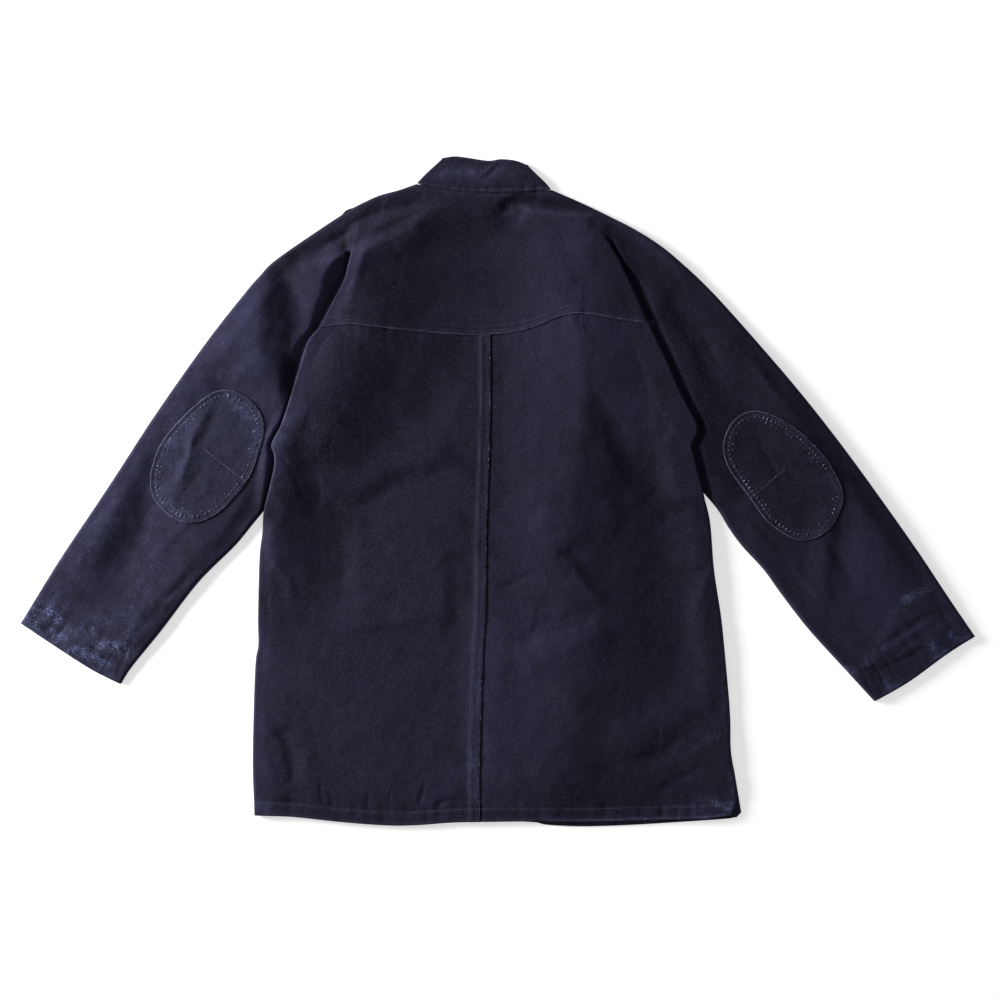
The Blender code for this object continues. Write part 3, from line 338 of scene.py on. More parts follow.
# Dye lost to wear, in bleached streaks and specks
BLEACH = (
    Mark("left cuff corner", 0.85, 14, ((-583, -146), (-572, -158), (-552, -172))),
    Mark("left cuff corner low", 0.7, 9, ((-568, -172), (-548, -184), (-532, -192))),
    Mark("left cuff rim", 1.0, 7, ((-590, -160), (-582, -146), (-566, -150), (-548, -162), (-534, -170))),
    Mark("left cuff band", 0.9, 9, ((-524, -176), (-504, -180), (-484, -190), (-462, -200))),
    Mark("left cuff edge", 0.9, 9, ((-532, -196), (-512, -204), (-494, -214), (-484, -224))),
    Mark("left cuff haze", 0.16, 26, ((-560, -150), (-520, -166), (-476, -176))),
    Mark("left forearm", 0.24, 22, ((-478, -166), (-448, -150), (-420, -118))),
    Mark("left forearm high", 0.15, 26, ((-528, -100), (-505, -60), (-478, -20))),
    Mark("left sleeve mid", 0.14, 60, ((-430, -60), (-380, 60), (-320, 180))),
    Mark("right cuff line", 0.8, 5, ((434, -222), (446, -225), (460, -213))),
    Mark("right cuff arc", 0.6, 6, ((460, -213), (476, -198), (482, -177), (489, -162))),
    Mark("right cuff arc high", 0.35, 6, ((489, -162), (508, -136), (536, -122))),
    Mark("right cuff knot", 0.6, 5, ((504, -140), (512, -133))),
    Mark("right cuff edge a", 0.9, 6, ((482, -236), (488, -246), (498, -242))),
    Mark("right cuff edge b", 0.8, 5, ((540, -190), (546, -206), (556, -202))),
    Mark("right cuff edge c", 0.9, 4, ((564, -176), (574, -188), (592, -184))),
    Mark("right hem edge", 0.5, 3.5, ((289, -352), (293, -378), (289, -398))),
    Mark("right hem arcs", 0.8, 3.5, ((288, -396), (276, -390), (262, -384), (248, -388), (242, -400))),
    Mark("right hem foot", 0.9, 2.2, ((288, -403), (254, -407), (206, -408.5), (100, -412))),
    Mark("left armpit edge", 0.3, 8, ((-262, 92), (-272, 70), (-276, 50))),
    Mark("right hem haze", 0.08, 14, ((286, -392), (268, -390), (246, -392))),
    Mark("left hem foot", 0.5, 7, ((-302, -388), (-292, -396))),
    Mark("centre strip", 0.35, 6, ((-27, -240), (-31, -310), (-32, -390))),
    Mark("collar wear", 0.16, 8, ((-74, 398), (-56, 400), (-36, 398), (-16, 396), (-2, 403))),
    Mark("left patch top", 0.4, 9, ((-333, 112), (-312, 100), (-300, 74), (-300, 52))),
    Mark("left patch side", 0.4, 9, ((-416, 50), (-404, 72), (-388, 90))),
    Mark("left patch foot", 0.3, 10, ((-424, 6), (-412, -14), (-388, -28))),
)

# Paler and darker places in the cloth's colour: broad differences in the depth of the dye.
# Many marks here are painted shade in hollows and valleys, painted shadow beside the body's folds where
# they stand over the sleeves, and painted light on slopes facing the lamp and on the left sleeve.
DYE_AND_PAINTED_SHADING = (
    Mark("left sleeve", 0.75, 95, ((-300, 250), (-420, 70), (-540, -110))),
    Mark("left shoulder", 0.1, 60, ((-140, 330), (-205, 300), (-270, 240))),
    Mark("right sleeve", -0.25, 70, ((250, 240), (330, 130), (400, 40))),
    Mark("right cuff", 0.8, 70, ((440, -110), (500, -170), (550, -190))),
    Mark("left elbow streak", 1.0, 5, ((-350, 112), (-364, 88), (-375, 68), (-385, 40), (-398, 0))),
    Mark("left patch", 0.1, 55, ((-350, 70), (-385, 10))),
    Mark("right sleeve inner", -0.85, 22, ((206, 236), (228, 190), (248, 146), (266, 104), (278, 66))),
    Mark("right armpit", -1.0, 13, ((262, 84), (264, 50), (264, 34))),
    Mark("yoke middle", -0.45, 42, ((-46, 316), (-30, 262))),
    Mark("neck spot", -0.7, 12, ((-6, 346), (0, 338))),
    Mark("strip top", -0.35, 7, ((-17, 188), (-18, 90), (-20, 4))),
    Mark("beside the strip", 1.2, 16, ((-6, -180), (-12, -240), (-15, -300), (-12, -350))),
    Mark("left side edge", 1.2, 15, ((-292, -186), (-298, -260), (-300, -330), (-298, -398))),
    Mark("left hip", 0.35, 36, ((-255, -225), (-215, -250), (-186, -272))),
    Mark("left drag shade", -0.9, 16, ((-194, 42), (-194, 0), (-202, -40))),
    Mark("left fold side", -0.6, 12, ((-204, 180), (-213, 140), (-220, 100), (-226, 62))),
    Mark("right hem low", -0.4, 34, ((84, -376), (140, -356), (196, -350))),
    Mark("right patch", -0.5, 55, ((330, 50), (380, -15))),
    Mark("collar wear", 1.0, 9, ((-82, 396), (-58, 400), (-36, 398), (-18, 396), (-2, 403), (4, 410))),
    Mark("collar knot", 0.8, 7, ((-20, 397), (-8, 400), (-2, 404))),
    Mark("collar pucker a", 0.8, 2.6, ((-70, 391), (-69, 383))),
    Mark("collar pucker b", 0.6, 2.6, ((-54, 390), (-53, 382))),
    Mark("collar pucker c", 0.9, 3.0, ((-12, 388), (-11, 380))),
    Mark("collar pucker d", 0.5, 2.6, ((20, 388), (20, 380))),
    Mark("right cuff shade", -0.9, 2.4, ((484, -188), (508, -175), (534, -161), (560, -146))),
    Mark("right cuff low shade", -0.9, 2.2, ((450, -228), (476, -223), (502, -213), (524, -200))),
    Mark("yoke hollow", -1.0, 44, ((-122, 292), (-116, 264), (-116, 240))),
    Mark("left drag foot", -0.7, 12, ((-184, 0), (-178, -16), (-178, -32))),
    Mark("left side hollow", -1.0, 14, ((-222, 84), (-232, 56), (-244, 34))),
    Mark("left lip light", 1.2, 12, ((-258, 112), (-268, 84), (-276, 58), (-274, 40))),
    Mark("left lip light low", 0.7, 9, ((-284, -62), (-282, -98))),
    Mark("left lip dark", -0.6, 8, ((-282, -22), (-280, -40))),
    Mark("before the bay", 0.5, 22, ((42, -40), (40, -92))),
    Mark("right flank", -0.6, 18, ((182, 14), (196, -12), (222, -22))),
    Mark("strip foot", 0.9, 11, ((-84, -392), (-66, -370), (-56, -352))),
    Mark("right hem foot", -0.5, 22, ((84, -390), (120, -386), (160, -378))),
    Mark("shoulder end", 0.9, 10, ((92, 336), (124, 334))),
    Mark("shoulder edge line", 1.0, 2.4,
         ((28, 358), (50, 350), (93, 343), (126, 341), (146, 337), (163, 328), (192, 311.5),
          (210, 299))),
    Mark("shoulder pocket", -1.0, 7, ((133, 332), (142, 318), (154, 298), (162, 276))),
    Mark("right patch rim", -0.9, 9, ((270, 92), (267, 60), (276, 30), (294, 2))),
    Mark("left sleeve valley", -0.6, 10,
         ((-242, 302), (-262, 282), (-280, 256), (-280, 228), (-268, 192), (-262, 158), (-266, 132))),
    Mark("left fold light", 1.0, 9, ((-236, 198), (-240, 162), (-244, 128), (-248, 108))),
    Mark("left elbow inner", 0.6, 14, ((-300, 62), (-303, 12))),
    Mark("strip shade", -0.7, 8, ((-38, -36), (-40, -80), (-40, -132))),
    Mark("left cuff blotch", -0.9, 6, ((-576, -168), (-560, -174))),
    Mark("left cuff blotch low", -0.7, 6, ((-542, -174), (-536, -186))),
    Mark("left cuff glow", 0.25, 16, ((-500, -150), (-460, -150), (-425, -125), (-405, -100))),
    Mark("right yoke flank", 0.9, 22, ((146, 196), (146, 160), (154, 122), (166, 96))),
    Mark("left sleeve top", -0.6, 10, ((-258, 288), (-282, 276))),
    Mark("left shoulder light", 0.8, 9, ((-196, 288), (-206, 268))),
    Mark("right side low", 0.5, 12, ((256, -232), (258, -276))),
    Mark("right flank high", -0.6, 16, ((180, 42), (200, 20), (214, -6))),
    Mark("left low corner", 0.5, 12, ((-294, -256), (-284, -276))),
    Mark("left spot", -0.6, 10, ((-36, 30), (-60, 46), (-62, 60))),
    Mark("left shade", -0.7, 12, ((-226, 72), (-252, 44))),
    Mark("yoke neck", -0.6, 26, ((-92, 332), (-50, 336), (0, 350))),
    Mark("yoke crown", 0.4, 50, ((60, 320), (72, 260), (72, 200))),
    Mark("under yoke left", -1.1, 46, ((-140, 176), (-150, 140), (-172, 84))),
    Mark("under yoke centre", -0.75, 24, ((-58, 186), (-66, 168), (-84, 148), (-100, 116))),
    Mark("left flank", -0.8, 26, ((-222, 96), (-236, 50), (-246, 0), (-236, -60))),
    Mark("left elbow", 0.4, 30, ((-292, 150), (-292, 60))),
    Mark("seam shade", -0.6, 8, ((0, 188), (0, 90), (-3, 0), (-5, -80))),
    Mark("left bay", 0.15, 50, ((-120, -40), (-120, -120))),
    Mark("felled strip", 0.5, 10, ((-30, -90), (-32, -180), (-34, -250))),
    Mark("felled strip low", 0.8, 12, ((-34, -200), (-36, -280), (-38, -350))),
    Mark("right of centre", 0.25, 40, ((40, 180), (44, 60), (44, -60))),
    Mark("right of centre low", 0.65, 50, ((40, -180), (34, -250), (36, -320))),
    Mark("right valley top", -0.2, 20, ((134, 100), (142, 72), (162, 30), (176, -20), (186, -60))),
    Mark("right valley", -0.35, 40, ((166, -50), (172, -120), (172, -220))),
    Mark("right hem", -0.3, 40, ((130, -320), (190, -326))),
    Mark("neck hollow", -1.1, 9, ((14, 360), (38, 364), (70, 358), (104, 352))),
    Mark("body spot", -0.8, 12, ((80, -84), (96, -92))),
    Mark("collar spot", -0.6, 5, ((-10, 392), (-8, 393))),
    Mark("left cuff spot", -0.8, 6, ((-578, -169), (-576, -170))),
    Mark("left forearm spot", -0.6, 12, ((-525, -125), (-515, -128))),
    Mark("right hem corner", 0.3, 16, ((286, -386), (276, -400))),
    Mark("right side shade", -0.4, 26, ((214, -40), (216, -130), (222, -200), (222, -245))),
    Mark("right valley light", 0.5, 14, ((112, -128), (110, -190), (110, -235))),
    Mark("right crest light", 0.7, 11, ((84, 228), (92, 212), (100, 118), (100, 84))),
    Mark("right fold shade", -0.45, 9, ((201, 134), (202, 90), (204, 48))),
    Mark("right sleeve shade", -0.5, 14, ((298, 190), (300, 90))),
    Mark("left valley top", -1.9, 7, ((-262, 200), (-259, 170), (-259, 128))),
    Mark("left sleeve light", 0.6, 12, ((-300, 192), (-300, 146))),
    Mark("left shoulder crest", 0.7, 12, ((-178, 296), (-186, 262))),
    Mark("yoke left light", 0.5, 12, ((-150, 288), (-128, 308), (-98, 324), (-86, 342))),
    Mark("shoulder light", 0.7, 12, ((112, 338), (116, 318), (104, 298))),
    Mark("right pocket", -0.9, 7, ((172, 276), (182, 256))),
    Mark("right pocket light", 0.8, 7, ((200, 252), (204, 236))),
    Mark("left drag spot", -0.6, 10, ((-160, 10), (-136, 28))),
    Mark("left waist light", 0.5, 14, ((-252, -30), (-242, -72))),
    Mark("left waist shade", -0.4, 12, ((-188, -48), (-198, -92))),
    Mark("left side low", 0.6, 12, ((-286, -346), (-286, -372))),
    Mark("hem light", 0.5, 9, ((-84, -388), (-76, -392), (-16, -388), (44, -390))),
    Mark("right hem light", 0.5, 10, ((200, -388), (252, -390))),
    Mark("right hip shade", -0.5, 12, ((142, -266), (158, -276))),
    Mark("right edge shade", -0.5, 10, ((256, -64), (256, -118))),
    Mark("left shoulder dark", -0.7, 8, ((-204, 324), (-196, 312))),
    Mark("left shoulder high", 0.6, 9, ((-162, 324), (-164, 316))),
    Mark("right sleeve head", 0.7, 10, ((178, 322), (182, 298))),
    Mark("left sleeve spot", -0.6, 9, ((-262, 284), (-258, 276))),
    Mark("left lip high", 0.7, 8, ((-204, 282), (-217, 262), (-220, 222))),
    Mark("yoke hollow low", -0.5, 14, ((-162, 256), (-120, 262))),
    Mark("yoke spot light", 0.5, 9, ((-122, 222), (-118, 216))),
    Mark("right flank spot", 0.6, 9, ((160, 14), (160, 4))),
    Mark("left lip low", -0.7, 9, ((-302, -24), (-280, -32))),
    Mark("right corner light", 0.6, 10, ((282, -260), (280, -278))),
    Mark("strip end shade", -0.9, 6, ((-40, -384), (-40, -396))),
)


class Side(Enum):
    """The wearer's sides, which in this back view are also the picture's."""

    LEFT = -1
    RIGHT = 1

    @property
    def hand(self) -> str:
        """The side's name in the tables and the nodes."""
        return self.name.lower()


ARMPIT_Y = {-1: -24.0, 1: -0.5}
SHOULDER_Y = {-1: 353.5, 1: 349.5}
LIP_CALM = {-1: 46.0, 1: 64.0}
LAP_START_Y = {-1: 320.0, 1: 326.0}
LAP_FULL_Y = {-1: 276.0, 1: 292.0}

# On each side: how steeply the sleeve rises from the fold and how far off it starts to, and how
# much the rows of the fold rise towards the centre, at its top and at its foot
SLEEVE_RISE = {-1: (0.42, 3.0), 1: (0.55, 4.0)}
LAP_SLOPE = {-1: (0.52, 0.1), 1: (0.48, 0.17)}


def smooth_line(points: Array, per: int) -> Array:
    """A smooth line through a few points.

    Args:
        points: The points that it passes, one a row.
        per: How many points the line has between each two of them.

    Returns:
        The line's points, one a row.
    """
    ends = np.vstack([2 * points[0] - points[1], points, 2 * points[-1] - points[-2]])
    runs = []
    for a, b, c, d in zip(ends[:-3], ends[1:-2], ends[2:-1], ends[3:]):
        t = np.linspace(0.0, 1.0, per, endpoint=False)[:, None]
        runs.append(0.5 * (2 * b + (c - a) * t + (2 * a - 5 * b + 4 * c - d) * t**2
                           + (3 * b - a - 3 * c + d) * t**3))
    return np.vstack(runs + [points[-1][None, :]])


def rail(*names: str, per: int = 12) -> Array:
    """A dense line through one or more outline tables, joined end to end."""
    return np.vstack([smooth_line(np.array(OUTLINE[name], dtype=float), per) for name in names])


def bend(path: tuple) -> Array:
    """A smooth line through a fold's few points."""
    return smooth_line(np.array(path, dtype=float), 5)


def lengths(line: Array) -> Array:
    """Length of a line up to each of its points."""
    return np.concatenate([[0.0], np.cumsum(np.hypot(*np.diff(line, axis=0).T))])


def along(line: Array, t: Array) -> Array:
    """Points at the fractions t of a line's length."""
    length = lengths(line)
    at = np.asarray(t) * length[-1]
    return np.stack([np.interp(at, length, line[:, 0]), np.interp(at, length, line[:, 1])], axis=-1)


def share(line: Array, corner: tuple) -> float:
    """Fraction of a line's length at its point nearest to a corner."""
    length = lengths(line)
    nearest = np.argmin(np.hypot(*(line - np.array(corner)).T))
    return length[nearest] / length[-1]


def spaced(line: Array, gap: float) -> Array:
    """The same line with its points about a gap apart."""
    count = max(2, round(lengths(line)[-1] / gap) + 1)
    return along(line, np.linspace(0.0, 1.0, count))


def bunched(count: int, share_even: float) -> Array:
    """Fractions from 0 to 1, closer together near both ends.

    Args:
        count: How many fractions.
        share_even: How much of the spacing is even; the rest follows a cosine.

    Returns:
        The fractions, rising.
    """
    t = np.linspace(0.0, 1.0, count)
    return share_even * t + (1.0 - share_even) * 0.5 * (1.0 - np.cos(np.pi * t))


def stretch(low: Array, high: Array, start: Array, end: Array, at: Array, v: Array) -> Array:
    """Grid of plan points between four rails.

    Args:
        low: Rail at v = 0.
        high: Rail at v = 1.
        start: Rail that v runs along at the first column.
        end: Rail that v runs along at the last column.
        at: Fractions along low and high, one a column.
        v: Fractions along start and end, one a row.

    Returns:
        Plan points, columns by rows by two.
    """
    a = along(low, at)[:, None, :]
    b = along(high, at)[:, None, :]
    c = along(start, v)[None, :, :]
    d = along(end, v)[None, :, :]
    s = np.asarray(at)[:, None, None]
    t = np.asarray(v)[None, :, None]
    corners = ((1 - s) * (1 - t) * a[0] + s * (1 - t) * a[-1] + (1 - s) * t * b[0]
               + s * t * b[-1])
    return (1 - t) * a + t * b + (1 - s) * c + s * d - corners


def ease(x: Array) -> Array:
    """Smooth step from 0 to 1."""
    x = np.clip(x, 0.0, 1.0)
    return x * x * (3.0 - 2.0 * x)


def bump(x: Array, width: float) -> Array:
    """Soft hill of height 1 about x = 0."""
    return np.exp(-(x / width) ** 2)


def nearness(plan: Array, line: Array) -> tuple:
    """Where plan points lie beside a line.

    Args:
        plan: Plan points, with two numbers on the last axis.
        line: The line's points, one a row.

    Returns:
        Distance to the line, side of it (1 on its left) and the fraction of it passed.
    """
    flat = plan.reshape(-1, 2)
    dist, side, passed = np.empty(len(flat)), np.empty(len(flat)), np.empty(len(flat))
    a, step = line[:-1], np.diff(line, axis=0)
    size = np.maximum((step**2).sum(axis=1), 1e-9)
    for first in range(0, len(flat), CHUNK):
        part = slice(first, first + CHUNK)
        off = flat[part, None, :] - a
        t = np.clip((off * step).sum(axis=-1) / size, 0.0, 1.0)
        gap = off - t[..., None] * step
        far = np.hypot(gap[..., 0], gap[..., 1])
        k = far.argmin(axis=1)
        row = np.arange(len(k))
        dist[part] = far[row, k]
        side[part] = np.sign(step[k, 0] * off[row, k, 1] - step[k, 1] * off[row, k, 0])
        passed[part] = (k + t[row, k]) / len(a)
    shape = plan.shape[:-1]
    return dist.reshape(shape), side.reshape(shape), passed.reshape(shape)


def beside(plan: Array, *names: str) -> Array:
    """Distance of plan points from the line through one or more outline tables."""
    return nearness(plan, rail(*names, per=3))[0]


def in_reach(flat: Array, line: Array, reach: float) -> Array:
    """Which points lie in a line's box, made wider by a reach."""
    inside = (flat > line.min(axis=0) - reach) & (flat < line.max(axis=0) + reach)
    return inside.all(axis=1)


def fold_sum(plan: Array, folds: tuple) -> Array:
    """Height that all folds of a table together add at each plan point.

    Args:
        plan: Plan points.
        folds: Rows of a fold table.

    Returns:
        The height at each point.
    """
    flat = plan.reshape(-1, 2)
    total = np.zeros(len(flat))
    for fold in folds:
        line = bend(fold.path)
        near = in_reach(flat, line, max(fold.left, fold.right))
        if not near.any():
            continue
        dist, side, passed = nearness(flat[near], line)
        width = np.where(side > 0, fold.left, fold.right)
        part = np.clip(dist / width, 0.0, 1.0)
        round_top = 0.5 + 0.5 * np.cos(np.pi * part)
        tent = 1.0 - np.sqrt(part**2 + 0.012) / np.sqrt(1.012)
        shape = 0.55 * round_top + 0.45 * np.clip(tent, 0.0, 1.0) / 0.891
        fade = ease(passed / 0.2) * ease((1.0 - passed) / 0.2)
        total[near] += fold.height * shape * (0.25 + 0.75 * fade)
    return total.reshape(plan.shape[:-1])


def mark_sum(plan: Array, marks: tuple) -> Array:
    """Strength that all marks of a table together have at each plan point."""
    flat = plan.reshape(-1, 2)
    total = np.zeros(len(flat))
    for mark in marks:
        line = bend(mark.path)
        near = in_reach(flat, line, 2.2 * mark.width)
        if near.any():
            total[near] += mark.strength * bump(nearness(flat[near], line)[0], mark.width)
    return total.reshape(plan.shape[:-1])


def puckers(t: Array, seed: int, spacing: float, width: float) -> Array:
    """Small uneven gathers along a seam.

    Args:
        t: Distance along the seam.
        seed: Seed of their places and depths.
        spacing: Mean distance between two of them.
        width: Half width of one.

    Returns:
        Depth from 0 to about 1 at each distance.
    """
    draw = np.random.default_rng(seed)
    total = np.zeros(t.shape)
    place = t.min() - spacing * draw.uniform(0.0, 1.0)
    last = t.max() + spacing
    while place < last:
        depth, wide = draw.uniform(0.35, 1.0), width * draw.uniform(0.7, 1.4)
        near = np.abs(t - place) < 3.0 * wide
        total[near] += depth * bump(t[near] - place, wide)
        place += spacing * draw.uniform(0.5, 1.5)
    return total


def crumple(plan: Array, scale: float, seed: int, octaves: int = 3) -> Array:
    """Soft irregular relief between about -1 and 1.

    Args:
        plan: Plan points.
        scale: Width of the broadest hollows.
        seed: Seed of the relief.
        octaves: How many times it is repeated, each half as broad and half as high.

    Returns:
        The relief at each point.
    """
    draw = np.random.default_rng(seed)
    total = np.zeros(plan.shape[:-1])
    for octave in range(octaves):
        lattice = draw.uniform(-1.0, 1.0, (LATTICE, LATTICE))
        turn = draw.uniform(0.0, np.pi)
        spin = np.array([[np.cos(turn), -np.sin(turn)], [np.sin(turn), np.cos(turn)]])
        at = plan @ spin * (2.0**octave / scale) + draw.uniform(0.0, LATTICE, 2)
        cell = np.floor(at).astype(int)
        part = ease(at - cell)
        i, j = cell[..., 0] % LATTICE, cell[..., 1] % LATTICE
        right, up = (i + 1) % LATTICE, (j + 1) % LATTICE
        low = lattice[i, j] * (1 - part[..., 0]) + lattice[right, j] * part[..., 0]
        high = lattice[i, up] * (1 - part[..., 0]) + lattice[right, up] * part[..., 0]
        total += (low * (1 - part[..., 1]) + high * part[..., 1]) * 0.5**octave
    return total


def wandered(plan: Array) -> Array:
    """Plan points moved a little to and fro, so that no fold runs perfectly even."""
    broad = np.stack([crumple(plan, 52.0, 11, 2), crumple(plan, 52.0, 12, 2)], axis=-1)
    small = np.stack([crumple(plan, 15.0, 13, 2), crumple(plan, 15.0, 14, 2)], axis=-1)
    return plan + WANDER * broad + 0.22 * WANDER * small


SILHOUETTES = (rail("outer_left", "shoulder_left", per=4), rail("outer_right", per=4),
               rail("shoulder_right", per=4), rail("inner_left", per=4),
               rail("inner_right", per=4))
LIPS = {-1: rail("lip_left", "side_left"), 1: rail("lip_right", "side_right")}


def lip_outside(plan: Array, side: int) -> Array:
    """How far a point lies outside the edge of the body on one side, measured along X."""
    line = LIPS[side][::-1]
    edge = np.interp(plan[..., 1], line[:, 1], line[:, 0])
    return side * (plan[..., 0] - edge)


def lapped(y: Array, side: int) -> Array:
    """1 where the body laps over the sleeve, 0 at the shoulder."""
    return ease((LAP_START_Y[side] - y) / (LAP_START_Y[side] - LAP_FULL_Y[side]))


def stepped(y: Array, side: int) -> Array:
    """1 where the body stands a full step above the sleeve, 0 at the shoulder."""
    return ease((SHOULDER_Y[side] - y) / (SHOULDER_Y[side] - LAP_START_Y[side]))


def above_armpit(y: Array, side: int) -> Array:
    """1 above the armpit, 0 a little below it."""
    return ease((y - ARMPIT_Y[side] + 34.0) / 30.0)


def open_height(plan: Array) -> Array:
    """Upper face of the cloth before it is pressed down anywhere.

    Args:
        plan: Plan points.

    Returns:
        Height from the crown, the folds, the creases, the crumple and the rolled edges.
    """
    bent = wandered(plan)
    rise = CROWN - LOW_OUTER + FOLD_DEPTH * fold_sum(bent, FOLDS)
    rise = np.maximum(rise, 0.35 * rise)
    edge = np.full(plan.shape[:-1], 1e9)
    for line in SILHOUETTES:
        edge = np.minimum(edge, nearness(plan, line)[0])
    calm = EDGE_CALM + (1.0 - EDGE_CALM) * ease(edge / EDGE_RISE)
    for names, least, reach in CALM_EDGES:
        near = np.min([beside(plan, name) for name in names], axis=0)
        calm = calm * (least + (1.0 - least) * ease(near / reach))
    fine = 0.6 * fold_sum(bent, CREASES) + 0.6 * crumple(plan, 48.0, 3) + 0.2 * crumple(plan, 14.0, 9)
    height = np.maximum(LOW_OUTER + rise * calm + fine * ease(edge / 12.0), LOW_OUTER - 0.6)
    roll = np.sqrt(np.clip(1.0 - (1.0 - np.clip(edge / EDGE_ROLL, 0.0, 1.0))**2, 0.0, 1.0))
    return EDGE_END + (height + 1.2 - EDGE_END) * roll - 1.2 * roll * ease(edge / 20.0)


def body_height(plan: Array) -> Array:
    """Upper face of the yoke and the back, kept clear of the cloth turned under its sides.

    Args:
        plan: Plan points.

    Returns:
        The height at each point.
    """
    height = open_height(plan)
    for side in (-1, 1):
        inside = -lip_outside(plan, side)
        y = plan[..., 1]
        under = CLOTH + SEAM_GAP + (LAP_UNDER - CLOTH - SEAM_GAP) * above_armpit(y, side)
        floor = under + LIP_RISE + 1.6 * above_armpit(y, side)
        near = ease((LIP_CALM[side] - inside) / (LIP_CALM[side] - 26.0)) * stepped(y, side)
        need = floor * near + LOW_OUTER * (1.0 - near)
        gain = height - need
        height = need + 0.5 * (gain + np.sqrt(gain**2 + 1.5 * near))
    return height


def sleeve_height(plan: Array) -> Array:
    """Upper face of the sleeves, pressed down beside and under the body's folds.

    Args:
        plan: Plan points.

    Returns:
        The height at each point.
    """
    open_cloth = open_height(plan)
    height = open_cloth
    for side, (slope, flat) in SLEEVE_RISE.items():
        outside = lip_outside(plan, side)
        y = plan[..., 1]
        cap = LOW_OUTER + slope * np.maximum(outside - flat, 0.0)
        cap = cap + 14.0 * (1.0 - stepped(y, side)) + 14.0 * ease((ARMPIT_Y[side] - y) / 30.0)
        cap = cap + 8.0 * ease(outside / 5.0) * ease((y - 262.0) / 36.0)
        cap = cap + 6.0 * ease(outside / 4.0) * ease((135.0 - y) / 35.0) * (side < 0)
        excess = height - cap
        height = np.where(side * plan[..., 0] > 0,
                          height - 0.5 * (excess + np.sqrt(excess**2 + 0.6)), height)
    return np.maximum(height, np.minimum(open_cloth, LOW_OUTER))


def seam_points(side: int, count: int) -> Array:
    """Points of the yoke seam on one side, from the centre out to the round of the fold."""
    hand = Side(side).hand
    corner = np.array(OUTLINE[f"side_{hand}"][0]) - np.array([side * LIP_ROUND, 0.0])
    line = rail(f"yoke_seam_{hand}")
    line = np.vstack([corner[None, :], line[side * (corner[0] - line[:, 0]) > 1.0]])
    line[-1, 0] -= side * SEAM_LAP / 2.0
    return along(line[::-1], np.linspace(0.0, 1.0, count))


YOKE_SEAM = np.vstack([seam_points(-1, 40)[::-1], seam_points(1, 40)])


def yoke_seam_y(x: Array) -> Array:
    """Height up the back of the yoke seam at x."""
    return np.interp(x, YOKE_SEAM[:, 0], YOKE_SEAM[:, 1])


def centre_x(y: Array) -> Array:
    """Place of the centre back seam at y."""
    line = rail("back_seam")[::-1]
    return np.interp(y, line[:, 1], line[:, 0])


def groove(distance: Array, depth: float = 0.35, width: float = 1.1) -> Array:
    """Dent that a row of stitches pulls into the cloth, at a distance from the row."""
    return -depth * bump(distance, width)


@dataclass
class Trim:
    """Relief of the seams, hems and cuffs, added to the height of a panel's upper face."""

    band: float = 0.8
    seam: float = 0.9

    def yoke(self, plan: Array) -> Array:
        """Felled lower edge of the yoke, with its row of stitches and its gathers.

        Args:
            plan: Plan points of the yoke.

        Returns:
            Height to add at each point.
        """
        above = plan[..., 1] - yoke_seam_y(plan[..., 0])
        inside = ease((-lip_outside(plan, -1) + 4.0) / 8.0) * ease((-lip_outside(plan, 1) + 4.0) / 8.0)
        raised = self.seam * (1.0 - ease((above - 9.0) / 4.0)) - 0.5 * bump(above, 1.2)
        gather = 0.55 * puckers(plan[..., 0], 21, 17.0, 3.2) * bump(above - YOKE_STITCH, 11.0)
        neck = beside(plan, "neck_seam")
        roll = 0.25 * bump(neck - 5.0, 3.5) - 0.4 * puckers(plan[..., 0], 4, 14.0, 2.6) * bump(neck, 9.0)
        return inside * (raised + groove(above - YOKE_STITCH) - gather) + roll

    def back(self, plan: Array, side: int) -> Array:
        """Gathers under the yoke, the felled centre seam and the hem of one half of the back.

        Args:
            plan: Plan points of that half.
            side: Which half, -1 or 1.

        Returns:
            Height to add at each point.
        """
        below = yoke_seam_y(plan[..., 0]) - plan[..., 1]
        gather = 0.5 * puckers(plan[..., 0], 31, 21.0, 4.0) * bump(below - 5.0, 11.0)
        height = -0.35 * bump(below, 3.0) - gather
        across = side * (plan[..., 0] - centre_x(plan[..., 1]))
        if side < 0:
            height = height + self.seam * (1.0 - ease((across - FELLED_BAND) / 3.5))
            height = height + groove(across - 0.5 * FELLED_BAND) + groove(across - FELLED_BAND)
            ruck = puckers(plan[..., 1], 41, 24.0, 5.0) * bump(across - 0.7 * FELLED_BAND, 12.0)
            height = height - 0.45 * bump(across, 1.2)
        else:
            ruck = puckers(plan[..., 1], 43, 26.0, 5.0) * bump(across - 2.0, 12.0)
            height = height - 0.5 * bump(across, 4.5)
        height = height - 0.45 * ruck
        hem = beside(plan, f"hem_{Side(side).hand}")
        ripple = puckers(plan[..., 0], 51 + side, 22.0, 4.6)
        reach = np.where(hem < HEM_BAND, ease(hem / HEM_BAND + 0.25), bump(hem - HEM_BAND, 14.0))
        band = self.band * (1.0 - ease((hem - HEM_BAND + 0.5) / 3.0))
        return height + band + groove(hem - HEM_BAND - 1.4, 0.7, 1.5) - 0.65 * ripple * reach

    def sleeve(self, plan: Array) -> Array:
        """Hem of the cuffs and its gathers.

        Args:
            plan: Plan points of a sleeve.

        Returns:
            Height to add at each point.
        """
        height = np.zeros(plan.shape[:-1])
        for hand in ("left", "right"):
            line = rail(f"cuff_{hand}", per=3)
            dist, _, passed = nearness(plan, line)
            run = passed * lengths(line)[-1]
            ripple = puckers(run, 61 + len(hand), 21.0, 4.0)
            reach = np.where(dist < CUFF_BAND, ease(dist / CUFF_BAND + 0.3),
                             bump(dist - CUFF_BAND, 18.0))
            height = height + self.band * (1.0 - ease((dist - CUFF_BAND + 0.5) / 3.0))
            height = height + groove(dist - CUFF_BAND, 0.45, 1.4) - 0.9 * ripple * reach
            height = height + groove(dist - 4.0, 0.2, 1.4)
        return height


TRIM = Trim()


